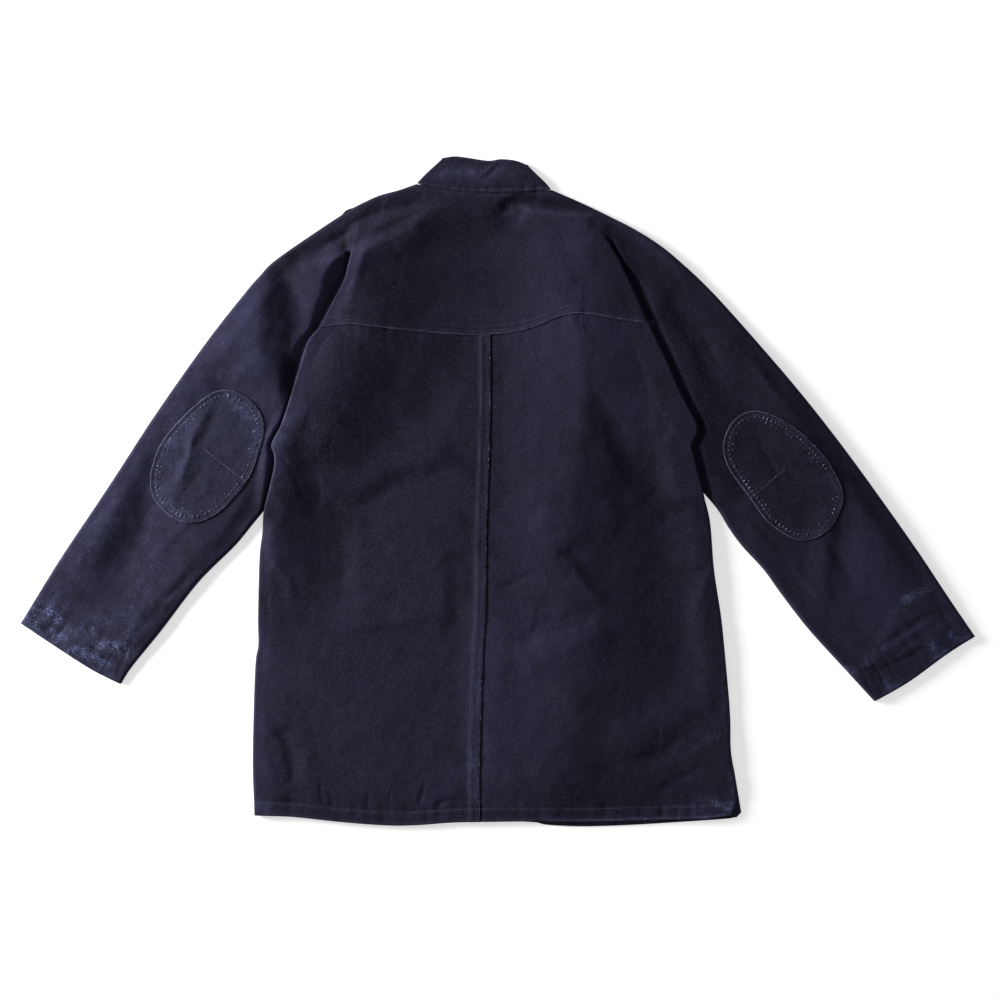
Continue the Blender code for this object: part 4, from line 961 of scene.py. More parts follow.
def yoke_face(plan: Array) -> Array:
    """Finished upper face of the yoke."""
    return body_height(plan) + TRIM.yoke(plan)


def back_face(side: int) -> Height:
    """Finished upper face of one half of the back, as a function of plan points."""
    return lambda plan: body_height(plan) + TRIM.back(plan, side)


def sleeve_face(plan: Array) -> Array:
    """Finished upper face of the sleeves."""
    return sleeve_height(plan) + TRIM.sleeve(plan)


def solid(plan: Array, height: Array) -> Array:
    """Grid of 3-D points from a grid of plan points and their heights."""
    return np.concatenate([plan, height[..., None]], axis=-1)


@dataclass(frozen=True)
class Dye:
    """A colour of the cloth, in linear light."""

    red: float
    green: float
    blue: float

    @property
    def rgba(self) -> tuple:
        """The colour as a socket takes it."""
        return (self.red, self.green, self.blue, 1.0)


class Board:
    """Lays nodes on a node tree and joins them."""

    def __init__(self, tree: bpy.types.NodeTree) -> None:
        """Keep the tree that the nodes go on."""
        self.tree = tree

    def node(self, kind: str, **settings: object) -> bpy.types.Node:
        """A new node with some of its settings."""
        made = self.tree.nodes.new(kind)
        for name, value in settings.items():
            setattr(made, name, value)
        return made

    def feed(self, socket: bpy.types.NodeSocket, value: object) -> None:
        """Link a socket to another one, or set its value."""
        if isinstance(value, bpy.types.NodeSocket):
            self.tree.links.new(value, socket)
        else:
            socket.default_value = value

    def fill(self, node: bpy.types.Node, values: dict) -> None:
        """Link or set several sockets of a node, by name."""
        for name, value in values.items():
            self.feed(node.inputs[name], value)

    def noise(self, place: object, scale: float, detail: float = 3.0,
              rough: float = 0.55) -> bpy.types.NodeSocket:
        """A noise between 0 and 1, as wide as 1 / scale metres."""
        made = self.node("ShaderNodeTexNoise")
        self.fill(made, {"Vector": place, "Scale": scale, "Detail": detail, "Roughness": rough})
        return made.outputs["Fac"]

    def stretched(self, place: object, scale: tuple) -> bpy.types.NodeSocket:
        """Coordinates scaled unevenly."""
        made = self.node("ShaderNodeMapping")
        self.fill(made, {"Vector": place, "Scale": scale})
        return made.outputs["Vector"]

    def math(self, operation: str, a: object, b: object = 0.0) -> bpy.types.NodeSocket:
        """The result of one sum."""
        made = self.node("ShaderNodeMath", operation=operation)
        self.feed(made.inputs[0], a)
        self.feed(made.inputs[1], b)
        return made.outputs["Value"]

    def plus(self, a: object, b: object) -> bpy.types.NodeSocket:
        """The sum of two values."""
        return self.math("ADD", a, b)

    def times(self, a: object, b: object) -> bpy.types.NodeSocket:
        """The product of two values."""
        return self.math("MULTIPLY", a, b)

    def grey(self, value: object) -> bpy.types.NodeSocket:
        """A grey colour of a value."""
        made = self.node("ShaderNodeCombineColor")
        self.fill(made, {"Red": value, "Green": value, "Blue": value})
        return made.outputs["Color"]

    def span(self, value: object, low: float, high: float, to_low: float = 0.0,
             to_high: float = 1.0) -> bpy.types.NodeSocket:
        """A value brought from one range smoothly to another, held at both ends."""
        made = self.node("ShaderNodeMapRange", interpolation_type="SMOOTHSTEP")
        self.fill(made, {"Value": value, "From Min": low, "From Max": high, "To Min": to_low,
                         "To Max": to_high})
        return made.outputs["Result"]

    def relief(self, height: object, depth: float) -> bpy.types.NodeSocket:
        """A surface direction roughened by a height, full scale at a depth in metres."""
        made = self.node("ShaderNodeBump")
        self.fill(made, {"Strength": 1.0, "Distance": depth, "Height": height})
        return made.outputs["Normal"]

    def blend(self, amount: object, first: object, second: object,
              kind: str = "MIX") -> bpy.types.NodeSocket:
        """A mix of two colours."""
        made = self.node("ShaderNodeMix", data_type="RGBA", blend_type=kind)
        self.feed(made.inputs[0], amount)
        self.feed(made.inputs[6], first)
        self.feed(made.inputs[7], second)
        return made.outputs[2]


def bare_material(name: str) -> tuple:
    """A new material, the board of its nodes and its shader."""
    made = bpy.data.materials.new(name)
    made.use_nodes = True
    return made, Board(made.node_tree), made.node_tree.nodes["Principled BSDF"]


class WovenCloth:
    """Shader node group of worn indigo cotton: dye, slubs, lint, wear, bleach, and painted shade and
    light from the fade mask.
    """

    NAME = "woven_indigo"
    INPUTS = (("Place", "NodeSocketVector"), ("Grain", "NodeSocketVector"),
              ("Fade", "NodeSocketFloat"), ("Wear", "NodeSocketFloat"),
              ("Bleach", "NodeSocketFloat"), ("Reddish", "NodeSocketColor"),
              ("Bluish", "NodeSocketColor"), ("Worn", "NodeSocketColor"),
              ("Bleached", "NodeSocketColor"))
    OUTPUTS = (("Colour", "NodeSocketColor"), ("Roughness", "NodeSocketFloat"),
               ("Height", "NodeSocketFloat"))
    # Bluish tint of the paler places of the fade mask: faded dye, and painted light.
    AGED = (0.93, 1.02, 1.06, 1.0)
    FADE_REACH = 0.45

    def build(self) -> bpy.types.NodeTree:
        """Make the group, or find it.

        Returns:
            The group's node tree.
        """
        found = bpy.data.node_groups.get(self.NAME)
        if found:
            return found
        tree = bpy.data.node_groups.new(self.NAME, "ShaderNodeTree")
        for name, kind in self.INPUTS:
            tree.interface.new_socket(name=name, in_out="INPUT", socket_type=kind)
        for name, kind in self.OUTPUTS:
            tree.interface.new_socket(name=name, in_out="OUTPUT", socket_type=kind)
        board = Board(tree)
        given = board.node("NodeGroupInput").outputs
        result = board.node("NodeGroupOutput").inputs
        place, grain = given["Place"], given["Grain"]
        weft = board.noise(board.stretched(grain, (60.0, 950.0, 1.0)), 1.0, 2.0)
        warp = board.noise(board.stretched(grain, (950.0, 80.0, 1.0)), 1.0, 2.0)
        slub = board.plus(board.span(weft, 0.3, 0.7, -0.5, 0.5),
                          board.span(warp, 0.3, 0.7, -0.5, 0.5))
        tint = board.plus(board.span(board.noise(place, 14.0, 4.0, 0.6), 0.3, 0.7, -0.1, 0.6),
                          board.span(board.noise(place, 330.0, 2.0), 0.3, 0.7, 0.0, 0.5))
        dyed = board.blend(tint, given["Reddish"], given["Bluish"])
        cloud = board.noise(place, 55.0, 5.0, 0.62)
        fleck = board.plus(board.noise(place, 420.0, 1.0), board.noise(place, 900.0, 1.0))
        value = board.plus(board.span(cloud, 0.3, 0.7, 0.93, 1.07), board.times(slub, 0.15))
        value = board.plus(value, board.span(fleck, 0.6, 1.4, -0.36, 0.36))
        # The fade mask makes the dye paler or darker: differences in the dye, with painted shade and
        # painted light.
        value = board.plus(value, board.times(given["Fade"], self.FADE_REACH))
        toned = board.blend(1.0, dyed, board.grey(value), "MULTIPLY")
        toned = board.blend(board.span(given["Fade"], 0.0, 1.0), toned, self.AGED, "MULTIPLY")
        patchy = board.times(given["Wear"], board.span(cloud, 0.32, 0.62, 0.25, 1.0))
        worn = board.blend(patchy, toned, given["Worn"])
        wave = board.noise(board.stretched(grain, (105.0, 40.0, 1.0)), 1.0, 3.0)
        line = board.span(board.math("ABSOLUTE", board.math("SUBTRACT", wave, 0.5)), 0.006, 0.03,
                          1.0, 0.0)
        speck = board.span(board.noise(place, 360.0, 3.0), 0.50, 0.68)
        crinkle = board.math("MAXIMUM", board.times(line, 0.6), speck)
        rubbed = board.times(crinkle, board.span(board.noise(place, 62.0, 4.0), 0.46, 0.60, 0.05, 1.0))
        haze = board.times(given["Bleach"], board.span(cloud, 0.3, 0.7, 0.0, 0.22))
        misted = board.blend(haze, worn, given["Bleached"])
        bleached = board.blend(board.times(given["Bleach"], rubbed), misted, given["Bleached"])
        lint = board.span(board.noise(place, 520.0, 1.0), 0.74, 0.80, 0.0, 0.45)
        board.feed(result["Colour"], board.blend(lint, bleached, given["Bleached"]))
        board.feed(result["Roughness"], board.span(cloud, 0.3, 0.7, 0.95, 0.88))
        board.feed(result["Height"], board.plus(board.times(slub, 0.9),
                                                board.times(board.noise(place, 110.0, 3.0), 2.4)))
        return tree


@dataclass(frozen=True)
class ClothFinish:
    """Finish of a piece of the jacket's cotton."""

    name: str
    slot: str
    reddish: Dye = Dye(0.0190, 0.0150, 0.0290)
    bluish: Dye = Dye(0.0168, 0.0150, 0.0315)
    worn: Dye = Dye(0.052, 0.055, 0.100)
    bleached: Dye = Dye(0.114, 0.142, 0.275)
    shine: float = 0.06
    sheen: float = 0.03
    bump: float = 0.00014

    def build(self) -> bpy.types.Material:
        """Make the material, or find it.

        Returns:
            The material.
        """
        found = bpy.data.materials.get(self.name)
        if found:
            return found
        made, board, shader = bare_material(self.name)
        cloth = board.node("ShaderNodeGroup", node_tree=WovenCloth().build())
        board.fill(cloth, {"Place": board.node("ShaderNodeTexCoord").outputs["Object"],
                           "Grain": board.node("ShaderNodeUVMap", uv_map="grain").outputs["UV"],
                           "Reddish": self.reddish.rgba, "Bluish": self.bluish.rgba,
                           "Worn": self.worn.rgba, "Bleached": self.bleached.rgba})
        # The fade mask holds painted shade and painted light as well as differences in the dye.
        for mark in ("Fade", "Wear", "Bleach"):
            mask = board.node("ShaderNodeAttribute", attribute_name=mark.lower())
            board.feed(cloth.inputs[mark], mask.outputs["Fac"])
        board.fill(shader, {"Metallic": 0.0, "Specular IOR Level": self.shine,
                            "Sheen Weight": self.sheen, "Sheen Roughness": 0.55,
                            "Sheen Tint": (0.62, 0.66, 1.0, 1.0),
                            "Base Color": cloth.outputs["Colour"],
                            "Roughness": cloth.outputs["Roughness"],
                            "Normal": board.relief(cloth.outputs["Height"], self.bump)})
        return made


@dataclass(frozen=True)
class ThreadFinish:
    """Finish of the sewing thread, dark with its dye rubbed off in places."""

    name: str = "sewing_thread"
    dark: Dye = Dye(0.020, 0.020, 0.036)
    pale: Dye = Dye(0.085, 0.092, 0.150)
    rubbed: tuple = (0.48, 0.62)

    def build(self) -> bpy.types.Material:
        """Make the material, or find it.

        Returns:
            The material.
        """
        found = bpy.data.materials.get(self.name)
        if found:
            return found
        made, board, shader = bare_material(self.name)
        place = board.node("ShaderNodeTexCoord").outputs["Object"]
        rubbed = board.span(board.noise(place, 60.0, 4.0), *self.rubbed)
        board.fill(shader, {"Base Color": board.blend(rubbed, self.dark.rgba, self.pale.rgba),
                            "Roughness": board.span(rubbed, 0.0, 1.0, 0.7, 0.85),
                            "Normal": board.relief(board.noise(place, 2500.0, 1.0), 0.0001)})
        return made


THREAD = ThreadFinish()
BEADS = ThreadFinish("rubbed_gathers", Dye(0.045, 0.047, 0.080), Dye(0.160, 0.176, 0.275), (0.42, 0.62))
INDIGO = ClothFinish("indigo_cotton_worn", "indigo_cotton")
PATCH_INDIGO = ClothFinish("patch_cotton_worn", "patch_cotton", reddish=Dye(0.0200, 0.0165, 0.0305),
                           bluish=Dye(0.0175, 0.0168, 0.0330))


def grain_lengths(grid: Array) -> Array:
    """Cloth coordinates in metres: distances along a grid's columns and rows."""
    across = np.linalg.norm(np.diff(grid, axis=0), axis=-1)
    down = np.linalg.norm(np.diff(grid, axis=1), axis=-1)
    u = np.concatenate([np.zeros((1, grid.shape[1])), np.cumsum(across, axis=0)])
    v = np.concatenate([np.zeros((grid.shape[0], 1)), np.cumsum(down, axis=1)], axis=1)
    return np.stack([u - u.mean(axis=0)[None, :], v], axis=-1) * MM


def mesh_of(made: bmesh.types.BMesh, name: str) -> bpy.types.Mesh:
    """A mesh with the faces of a bmesh, which is freed."""
    mesh = bpy.data.meshes.new(name)
    made.to_mesh(mesh)
    made.free()
    return mesh


def mesh_points(mesh: bpy.types.Mesh) -> Array:
    """The points of a mesh, one a row."""
    flat = np.empty(len(mesh.vertices) * 3, np.float32)
    mesh.vertices.foreach_get("co", flat)
    return flat.reshape(-1, 3)


def placed(name: str, mesh: bpy.types.Mesh, material: bpy.types.Material) -> bpy.types.Object:
    """Object of a mesh in the scene, with its material."""
    piece = bpy.data.objects.new(name, mesh)
    bpy.context.scene.collection.objects.link(piece)
    mesh.materials.append(material)
    return piece


def cloth_piece(mesh: bpy.types.Mesh, points: Array, masks: dict, grain: Array,
                finish: ClothFinish, thick: float) -> bpy.types.Object:
    """Object of a face of cloth, brought to its place and given its thickness and its finish.

    Args:
        mesh: The face, named as its piece.
        points: Where the mesh's points go, in the tables' millimetres.
        masks: Values of the colour masks at the points, by name, painted shade and light among them.
        grain: Cloth coordinates of the points, in metres.
        finish: Finish of the cloth.
        thick: Thickness of the cloth, below the face.

    Returns:
        The piece's object.
    """
    mesh.vertices.foreach_set("co", ((points - MIDDLE) * MM).astype(np.float32).ravel())
    for mask, values in masks.items():
        layer = mesh.attributes.new(mask, "FLOAT", "POINT")
        layer.data.foreach_set("value", values.astype(np.float32))
    corner = np.empty(len(mesh.loops), np.int32)
    mesh.loops.foreach_get("vertex_index", corner)
    mesh.uv_layers.new(name="grain").data.foreach_set("uv", grain[corner].astype(np.float32).ravel())
    mesh.update()
    mesh.shade_smooth()
    piece = placed(mesh.name, mesh, finish.build())
    wall = piece.modifiers.new("cloth", "SOLIDIFY")
    wall.thickness = thick * MM
    wall.offset = -1.0
    return piece


def shell(name: str, grid: Array, masks: dict, finish: ClothFinish,
          thick: float = SHELL) -> bpy.types.Object:
    """A closed piece of cloth whose upper face runs through a grid of points.

    Args:
        name: Name of the piece.
        grid: Points in the tables' millimetres, columns by rows by three.
        masks: Values of the colour masks at each point, by name, painted shade and light among them.
        finish: Finish of the cloth.
        thick: Thickness of the cloth, below the face.

    Returns:
        The piece's object.
    """
    columns, rows = grid.shape[:2]
    made = bmesh.new()
    bmesh.ops.create_grid(made, x_segments=columns - 1, y_segments=rows - 1, size=0.5)
    turn = np.cross(np.gradient(grid, axis=0), np.gradient(grid, axis=1))[..., 2]
    if np.median(turn[grid[..., 2] > np.percentile(grid[..., 2], 70.0)]) < 0.0:
        bmesh.ops.reverse_faces(made, faces=made.faces)
    mesh = mesh_of(made, name)
    flat = mesh_points(mesh)
    i = np.rint((flat[:, 0] + 0.5) * (columns - 1)).astype(int)
    j = np.rint((flat[:, 1] + 0.5) * (rows - 1)).astype(int)
    picked = {mask: values[i, j] for mask, values in masks.items()}
    return cloth_piece(mesh, grid[i, j], picked, grain_lengths(grid)[i, j], finish, thick)


def masks_of(plan: Array, seams: Array) -> dict:
    """Masks of the cloth's colour at plan points, with painted shade and painted light in the fade mask.

    Args:
        plan: Plan points.
        seams: Wear along this piece's own seams and edges, from 0 to 1.

    Returns:
        Values by mask name.
    """
    bent = wandered(plan)
    # The fade mask also follows the folds and creases, darker in their troughs and paler on their ridges:
    # painted shade in the creases, and in part wear on the ridges.
    fade = mark_sum(bent, DYE_AND_PAINTED_SHADING) + 0.03 * fold_sum(bent, FOLDS) + 0.10 * fold_sum(bent, CREASES)
    return {"fade": np.clip(fade, -1.0, 1.2), "wear": np.clip(seams, 0.0, 1.0),
            "bleach": np.clip(mark_sum(plan, BLEACH), 0.0, 1.0)}


@dataclass
class YokeAndSleeves:
    """The back yoke, cut in one with the backs of both sleeves."""

    node: str = "yoke_and_sleeves"
    steps: int = SLEEVE_STEPS
    yoke_steps: int = YOKE_STEPS
    rows: int = SLEEVE_ROWS

    def lap(self, lip: Array, slope: Array, side: int) -> Array:
        """Columns of the fold between a sleeve and the yoke, from the sleeve to the yoke.

        Args:
            lip: The fold's outermost points, one for each row.
            slope: How much each row rises for each millimetre towards the centre.
            side: -1 for the left, 1 for the right.

        Returns:
            The columns, by rows by three.
        """
        y = lip[:, 1]
        amount = lapped(y, side)
        overlap = LAP_FIRST + (LAP_WIDTH - LAP_FIRST) * ease((LAP_FULL_Y[side] - y) / 80.0)
        depth = (1 - amount) * -LAP_OUT + amount * (overlap - LAP_TUCK)
        start = lip + np.stack([-side * depth, slope * depth], axis=-1)
        low = sleeve_height(start[:, None, :])[:, 0]
        finish = lip + np.stack([np.full(len(y), -side * LAP_IN), slope * LAP_IN], axis=-1)
        high = body_height(finish[:, None, :])[:, 0]
        pocket = np.minimum(POCKET_AIR, 0.4 * np.maximum(high - low, 0.0)) / 2.0
        across, up = [], []
        for angle in np.radians(np.linspace(-90.0, 90.0, 9)):
            across.append(overlap + pocket * np.cos(angle))
            up.append(low + pocket + pocket * np.sin(angle))
        middle = low + 2.0 * pocket
        for part in (0.75, 0.5, 0.25):
            across.append(LIP_ROUND + (overlap - LIP_ROUND) * part)
            up.append(middle)
        tall = (high - middle) / 2.0
        for angle in np.radians(np.linspace(-90.0, -270.0, 11)):
            across.append(LIP_ROUND + LIP_ROUND * np.cos(angle))
            up.append(middle + tall + tall * np.sin(angle))
        count = len(across)
        columns = [solid(start, low)]
        for k in range(count):
            part = (k + 1) / (count + 1)
            x = (1 - amount) * ((LAP_OUT + LAP_IN) * part - LAP_OUT) + amount * across[k]
            z = (1 - amount) * (low + (high - low) * part) + amount * up[k]
            columns.append(np.stack([lip[:, 0] - side * x, y + slope * x, z], axis=-1))
        columns.append(solid(finish, high))
        for column in columns:
            column[-1, 1] = yoke_seam_y(column[-1, 0]) - SEAM_LAP
        return np.stack(columns)

    def sleeve(self, side: int, rows: Array, lip_start: Array) -> Array:
        """Sleeve from its cuff to the deep line of the fold.

        Args:
            side: -1 for the left, 1 for the right.
            rows: Fractions across the sleeve.
            lip_start: Plan points where the fold starts, one a row.

        Returns:
            The sleeve's points, columns by rows by three.
        """
        hand = Side(side).hand
        outer = rail(f"outer_{hand}")
        outer = outer[np.hypot(*(outer - lip_start[0]).T) > 9.0]
        outer = np.vstack([outer, lip_start[0][None, :]])
        inner = np.vstack([rail(f"inner_{hand}", f"tuck_{hand}"), lip_start[-1][None, :]])
        plan = stretch(outer, inner, rail(f"cuff_{hand}"), lip_start, bunched(self.steps, 0.7), rows)
        return solid(plan, sleeve_face(plan))

    def yoke(self, first: Array, last: Array, rows: Array) -> Array:
        """Yoke between its two folds.

        Args:
            first: Last column of the left fold.
            last: Last column of the right fold.
            rows: Fractions from the neck to the yoke seam.

        Returns:
            The yoke's points, columns by rows by three.
        """
        top = np.vstack([rail("shoulder_left", "neck_seam")[:-1], rail("shoulder_right")])
        keep = (top[:, 0] > first[0, 0] + 1.0) & (top[:, 0] < last[0, 0] - 1.0)
        top = np.vstack([first[0, :2], top[keep], last[0, :2]])
        seam = YOKE_SEAM - np.array([0.0, SEAM_LAP])
        keep = (seam[:, 0] > first[-1, 0] + 3.0) & (seam[:, 0] < last[-1, 0] - 3.0)
        seam = np.vstack([first[-1, :2], seam[keep], last[-1, :2]])
        ends = [share(top, OUTLINE["neck_seam"][0]), share(top, OUTLINE["neck_seam"][-1])]
        at = np.sort(np.append(np.linspace(0.0, 1.0, self.yoke_steps), ends))
        plan = stretch(top, seam, first[:, :2], last[:, :2], at, rows)
        return solid(plan, yoke_face(plan))

    def build(self) -> bpy.types.Object:
        """Build and dress the piece.

        Returns:
            The piece's object.
        """
        rows = bunched(self.rows, 0.6)
        laps, sleeves = {}, {}
        for side, (top, foot) in LAP_SLOPE.items():
            lip = along(rail(f"lip_{Side(side).hand}"), rows)
            laps[side] = self.lap(lip, top + (foot - top) * rows, side)
            sleeves[side] = self.sleeve(side, rows, laps[side][0][:, :2])
        yoke = self.yoke(laps[-1][-1], laps[1][-1], rows)
        self.settle(laps[-1], sleeves[-1], yoke)
        self.settle(laps[1], sleeves[1], yoke[::-1])
        grid = np.concatenate([sleeves[-1][:-1], laps[-1], yoke[1:-1], laps[1][::-1],
                               sleeves[1][:-1][::-1]])
        plan = grid[..., :2]
        near_seam = np.abs(plan[..., 1] - yoke_seam_y(plan[..., 0]))
        wear = 0.85 * bump(near_seam, 2.2) * (np.abs(plan[..., 0] + 10.0) < 205.0)
        for hand in ("left", "right"):
            wear = wear + 0.5 * bump(beside(plan, f"cuff_{hand}"), 4.0)
            wear = wear + 0.1 * bump(beside(plan, f"outer_{hand}"), 3.0)
        wear = wear + 0.12 * bump(beside(plan, "neck_seam") - 4.0, 3.0)
        return shell(f"{self.node}_cloth", grid, masks_of(plan, wear), INDIGO)

    @staticmethod
    def settle(lap: Array, sleeve: Array, yoke: Array) -> None:
        """Bring a fold's two ends to the heights of the finished faces beside it."""
        steps = len(lap)
        sleeve_gap = sleeve[-1, :, 2] - lap[0, :, 2]
        yoke_gap = yoke[0, :, 2] - lap[-1, :, 2]
        for k in range(steps):
            part = k / (steps - 1)
            lap[k, :, 2] += (1.0 - ease(part * 4.0)) * sleeve_gap + ease(part * 4.0 - 3.0) * yoke_gap


@dataclass
class BackHalf:
    """One half of the back body, from the centre seam to its side, turned under there."""

    side: Side
    steps: int = BACK_STEPS
    rows: int = BACK_ROWS

    @property
    def node(self) -> str:
        """Name of the solid that the piece stands for."""
        return f"back_{self.side.hand}"

    def build(self) -> bpy.types.Object:
        """Build and dress the piece.

        Returns:
            The piece's object.
        """
        side, hand = self.side.value, self.side.hand
        rows = bunched(self.rows, 0.75)
        seam_line = rail("back_seam") - np.array([side * SEAM_LAP / 2.0, 0.0])
        inset = along(rail(f"side_{hand}"), rows) - np.array([side * LIP_ROUND, 0.0])
        top = seam_points(side, self.steps)
        seam_line[0], inset[0] = top[0], top[-1]
        hem = rail(f"hem_{hand}")
        hem = np.vstack([inset[-1][None, :], hem[side * (inset[-1, 0] - hem[:, 0]) > 1.0]])
        hem[-1] = seam_line[-1]
        at = bunched(self.steps, 0.75)
        plan = stretch(top, hem[::-1], seam_line, inset, at, rows)
        flat = solid(plan, back_face(side)(plan))
        y, high = inset[:, 1], flat[-1, :, 2]
        over = above_armpit(y, side)
        low = CLOTH + SEAM_GAP + (LAP_UNDER - CLOTH - SEAM_GAP) * over
        turn = SIDE_TURN + (LAP_WIDTH - SIDE_TURN) * over * ease((y - ARMPIT_Y[side] + 5.0) / 120.0)
        tall = (high - low) / 2.0
        columns = [flat]
        for angle in np.radians(np.linspace(18.0, 180.0, 10)):
            across = inset[:, 0] + side * LIP_ROUND * np.sin(angle)
            columns.append(np.stack([across, y, low + tall + tall * np.cos(angle)], axis=-1)[None])
        for part in (0.33, 0.67, 1.0):
            across = inset[:, 0] - side * turn * part
            columns.append(np.stack([across, y, low], axis=-1)[None])
        grid = np.concatenate(columns)
        grid[:, 0, 1] = yoke_seam_y(grid[:, 0, 0])
        plan = grid[..., :2]
        hem_line = beside(plan, f"hem_{hand}")
        across = side * (plan[..., 0] - centre_x(plan[..., 1]))
        wear = (0.6 + 0.35 * (side > 0)) * bump(hem_line, 2.6) + 0.08 * bump(hem_line - HEM_BAND, 1.6)
        if side < 0:
            wear = wear + 0.55 * bump(across - 1.0, 2.0) + 0.35 * bump(across - FELLED_BAND, 1.6)
        wear = wear + 0.35 * bump(lip_outside(plan, side), 3.0)
        return shell(f"{self.node}_cloth", grid, masks_of(plan, wear), INDIGO)


@dataclass
class Collar:
    """Stand collar pressed flat: its back half over the ends of its front half."""

    node: str = "collar"
    steps: int = COLLAR_STEPS
    rows: int = COLLAR_ROWS
    stitch_above: float = 3.4
    band: float = 38.0

    def seam_face(self, plan: Array) -> Array:
        """Upper face of the collar beside the neck seam, for its row of stitches."""
        return self.face(plan, np.clip(beside(plan, "neck_seam") / self.band, 0.0, 1.0))

    def face(self, plan: Array, rise: Array) -> Array:
        """Upper face of the collar's back half.

        Args:
            plan: Plan points.
            rise: Fractions from the neck seam to the top edge.

        Returns:
            The height at each point.
        """
        height = 5.0 + 1.6 * np.sin(np.pi * rise) + 0.9 * (1 - rise)
        height = height + fold_sum(plan, COLLAR_CREASES) + 0.4 * crumple(plan, 17.0, 5)
        above = beside(plan, "neck_seam")
        gather = 0.6 * puckers(plan[..., 0], 71, 16.0, 2.6) * bump(above - 3.0, 5.0)
        top = beside(plan, "collar_top")
        return (height - gather + 0.3 * bump(above - 1.2, 1.6) + groove(above - self.stitch_above)
                + 0.3 * bump(top - 2.0, 2.5))

    def build(self) -> bpy.types.Object:
        """Build and dress the piece.

        Returns:
            The piece's object.
        """
        rows = np.linspace(0.0, 1.0, self.rows)
        ends = {}
        for side in Side:
            line = along(rail(f"collar_end_{side.hand}"), rows)
            ends[side.value] = line - np.array([side.value * LIP_ROUND, 0.0])
        seam = rail("neck_seam")
        seam = seam[(seam[:, 0] > ends[-1][0, 0] + 1) & (seam[:, 0] < ends[1][0, 0] - 1)]
        seam = np.vstack([ends[-1][0], seam, ends[1][0]]) - np.array([0.0, SEAM_LAP])
        ends[-1][0], ends[1][0] = seam[0], seam[-1]
        top = rail("collar_top")
        for line in ends.values():
            line[-1, 1] = np.interp(line[-1, 0], top[:, 0], top[:, 1])
        top = top[(top[:, 0] > ends[-1][-1, 0] + 1) & (top[:, 0] < ends[1][-1, 0] - 1)]
        top = np.vstack([ends[-1][-1], top, ends[1][-1]])
        plan = stretch(seam, top, ends[-1], ends[1], bunched(self.steps, 0.8), rows)
        back = solid(plan, self.face(plan, np.broadcast_to(rows, plan.shape[:2])))
        middle = self.steps // 2
        parts = {}
        for side in (-1, 1):
            line, high = ends[side], back[0 if side < 0 else -1, :, 2]
            turn = [np.stack([line[:, 0] + side * LIP_ROUND * np.sin(angle), line[:, 1],
                              high / 2.0 + high / 2.0 * np.cos(angle)], axis=-1)[None]
                    for angle in np.radians(np.linspace(20.0, 160.0, 8))]
            part = plan[:middle:2] if side < 0 else plan[middle + 3::2][::-1]
            centre = plan[middle:middle + 1] + np.array([side * 1.0, 0.0])
            below = np.concatenate([part, centre])
            parts[side] = turn, solid(below, np.full(below.shape[:2], 0.0))
        grid = np.concatenate([parts[-1][1][::-1]] + parts[-1][0][::-1] + [back] + parts[1][0]
                              + [parts[1][1]])
        plan = grid[..., :2]
        wear = (0.35 * bump(beside(plan, "neck_seam") - 2.0, 1.1)
                + 0.35 * bump(beside(plan, "collar_top"), 2.0))
        return shell(f"{self.node}_cloth", grid, masks_of(plan, wear), INDIGO)


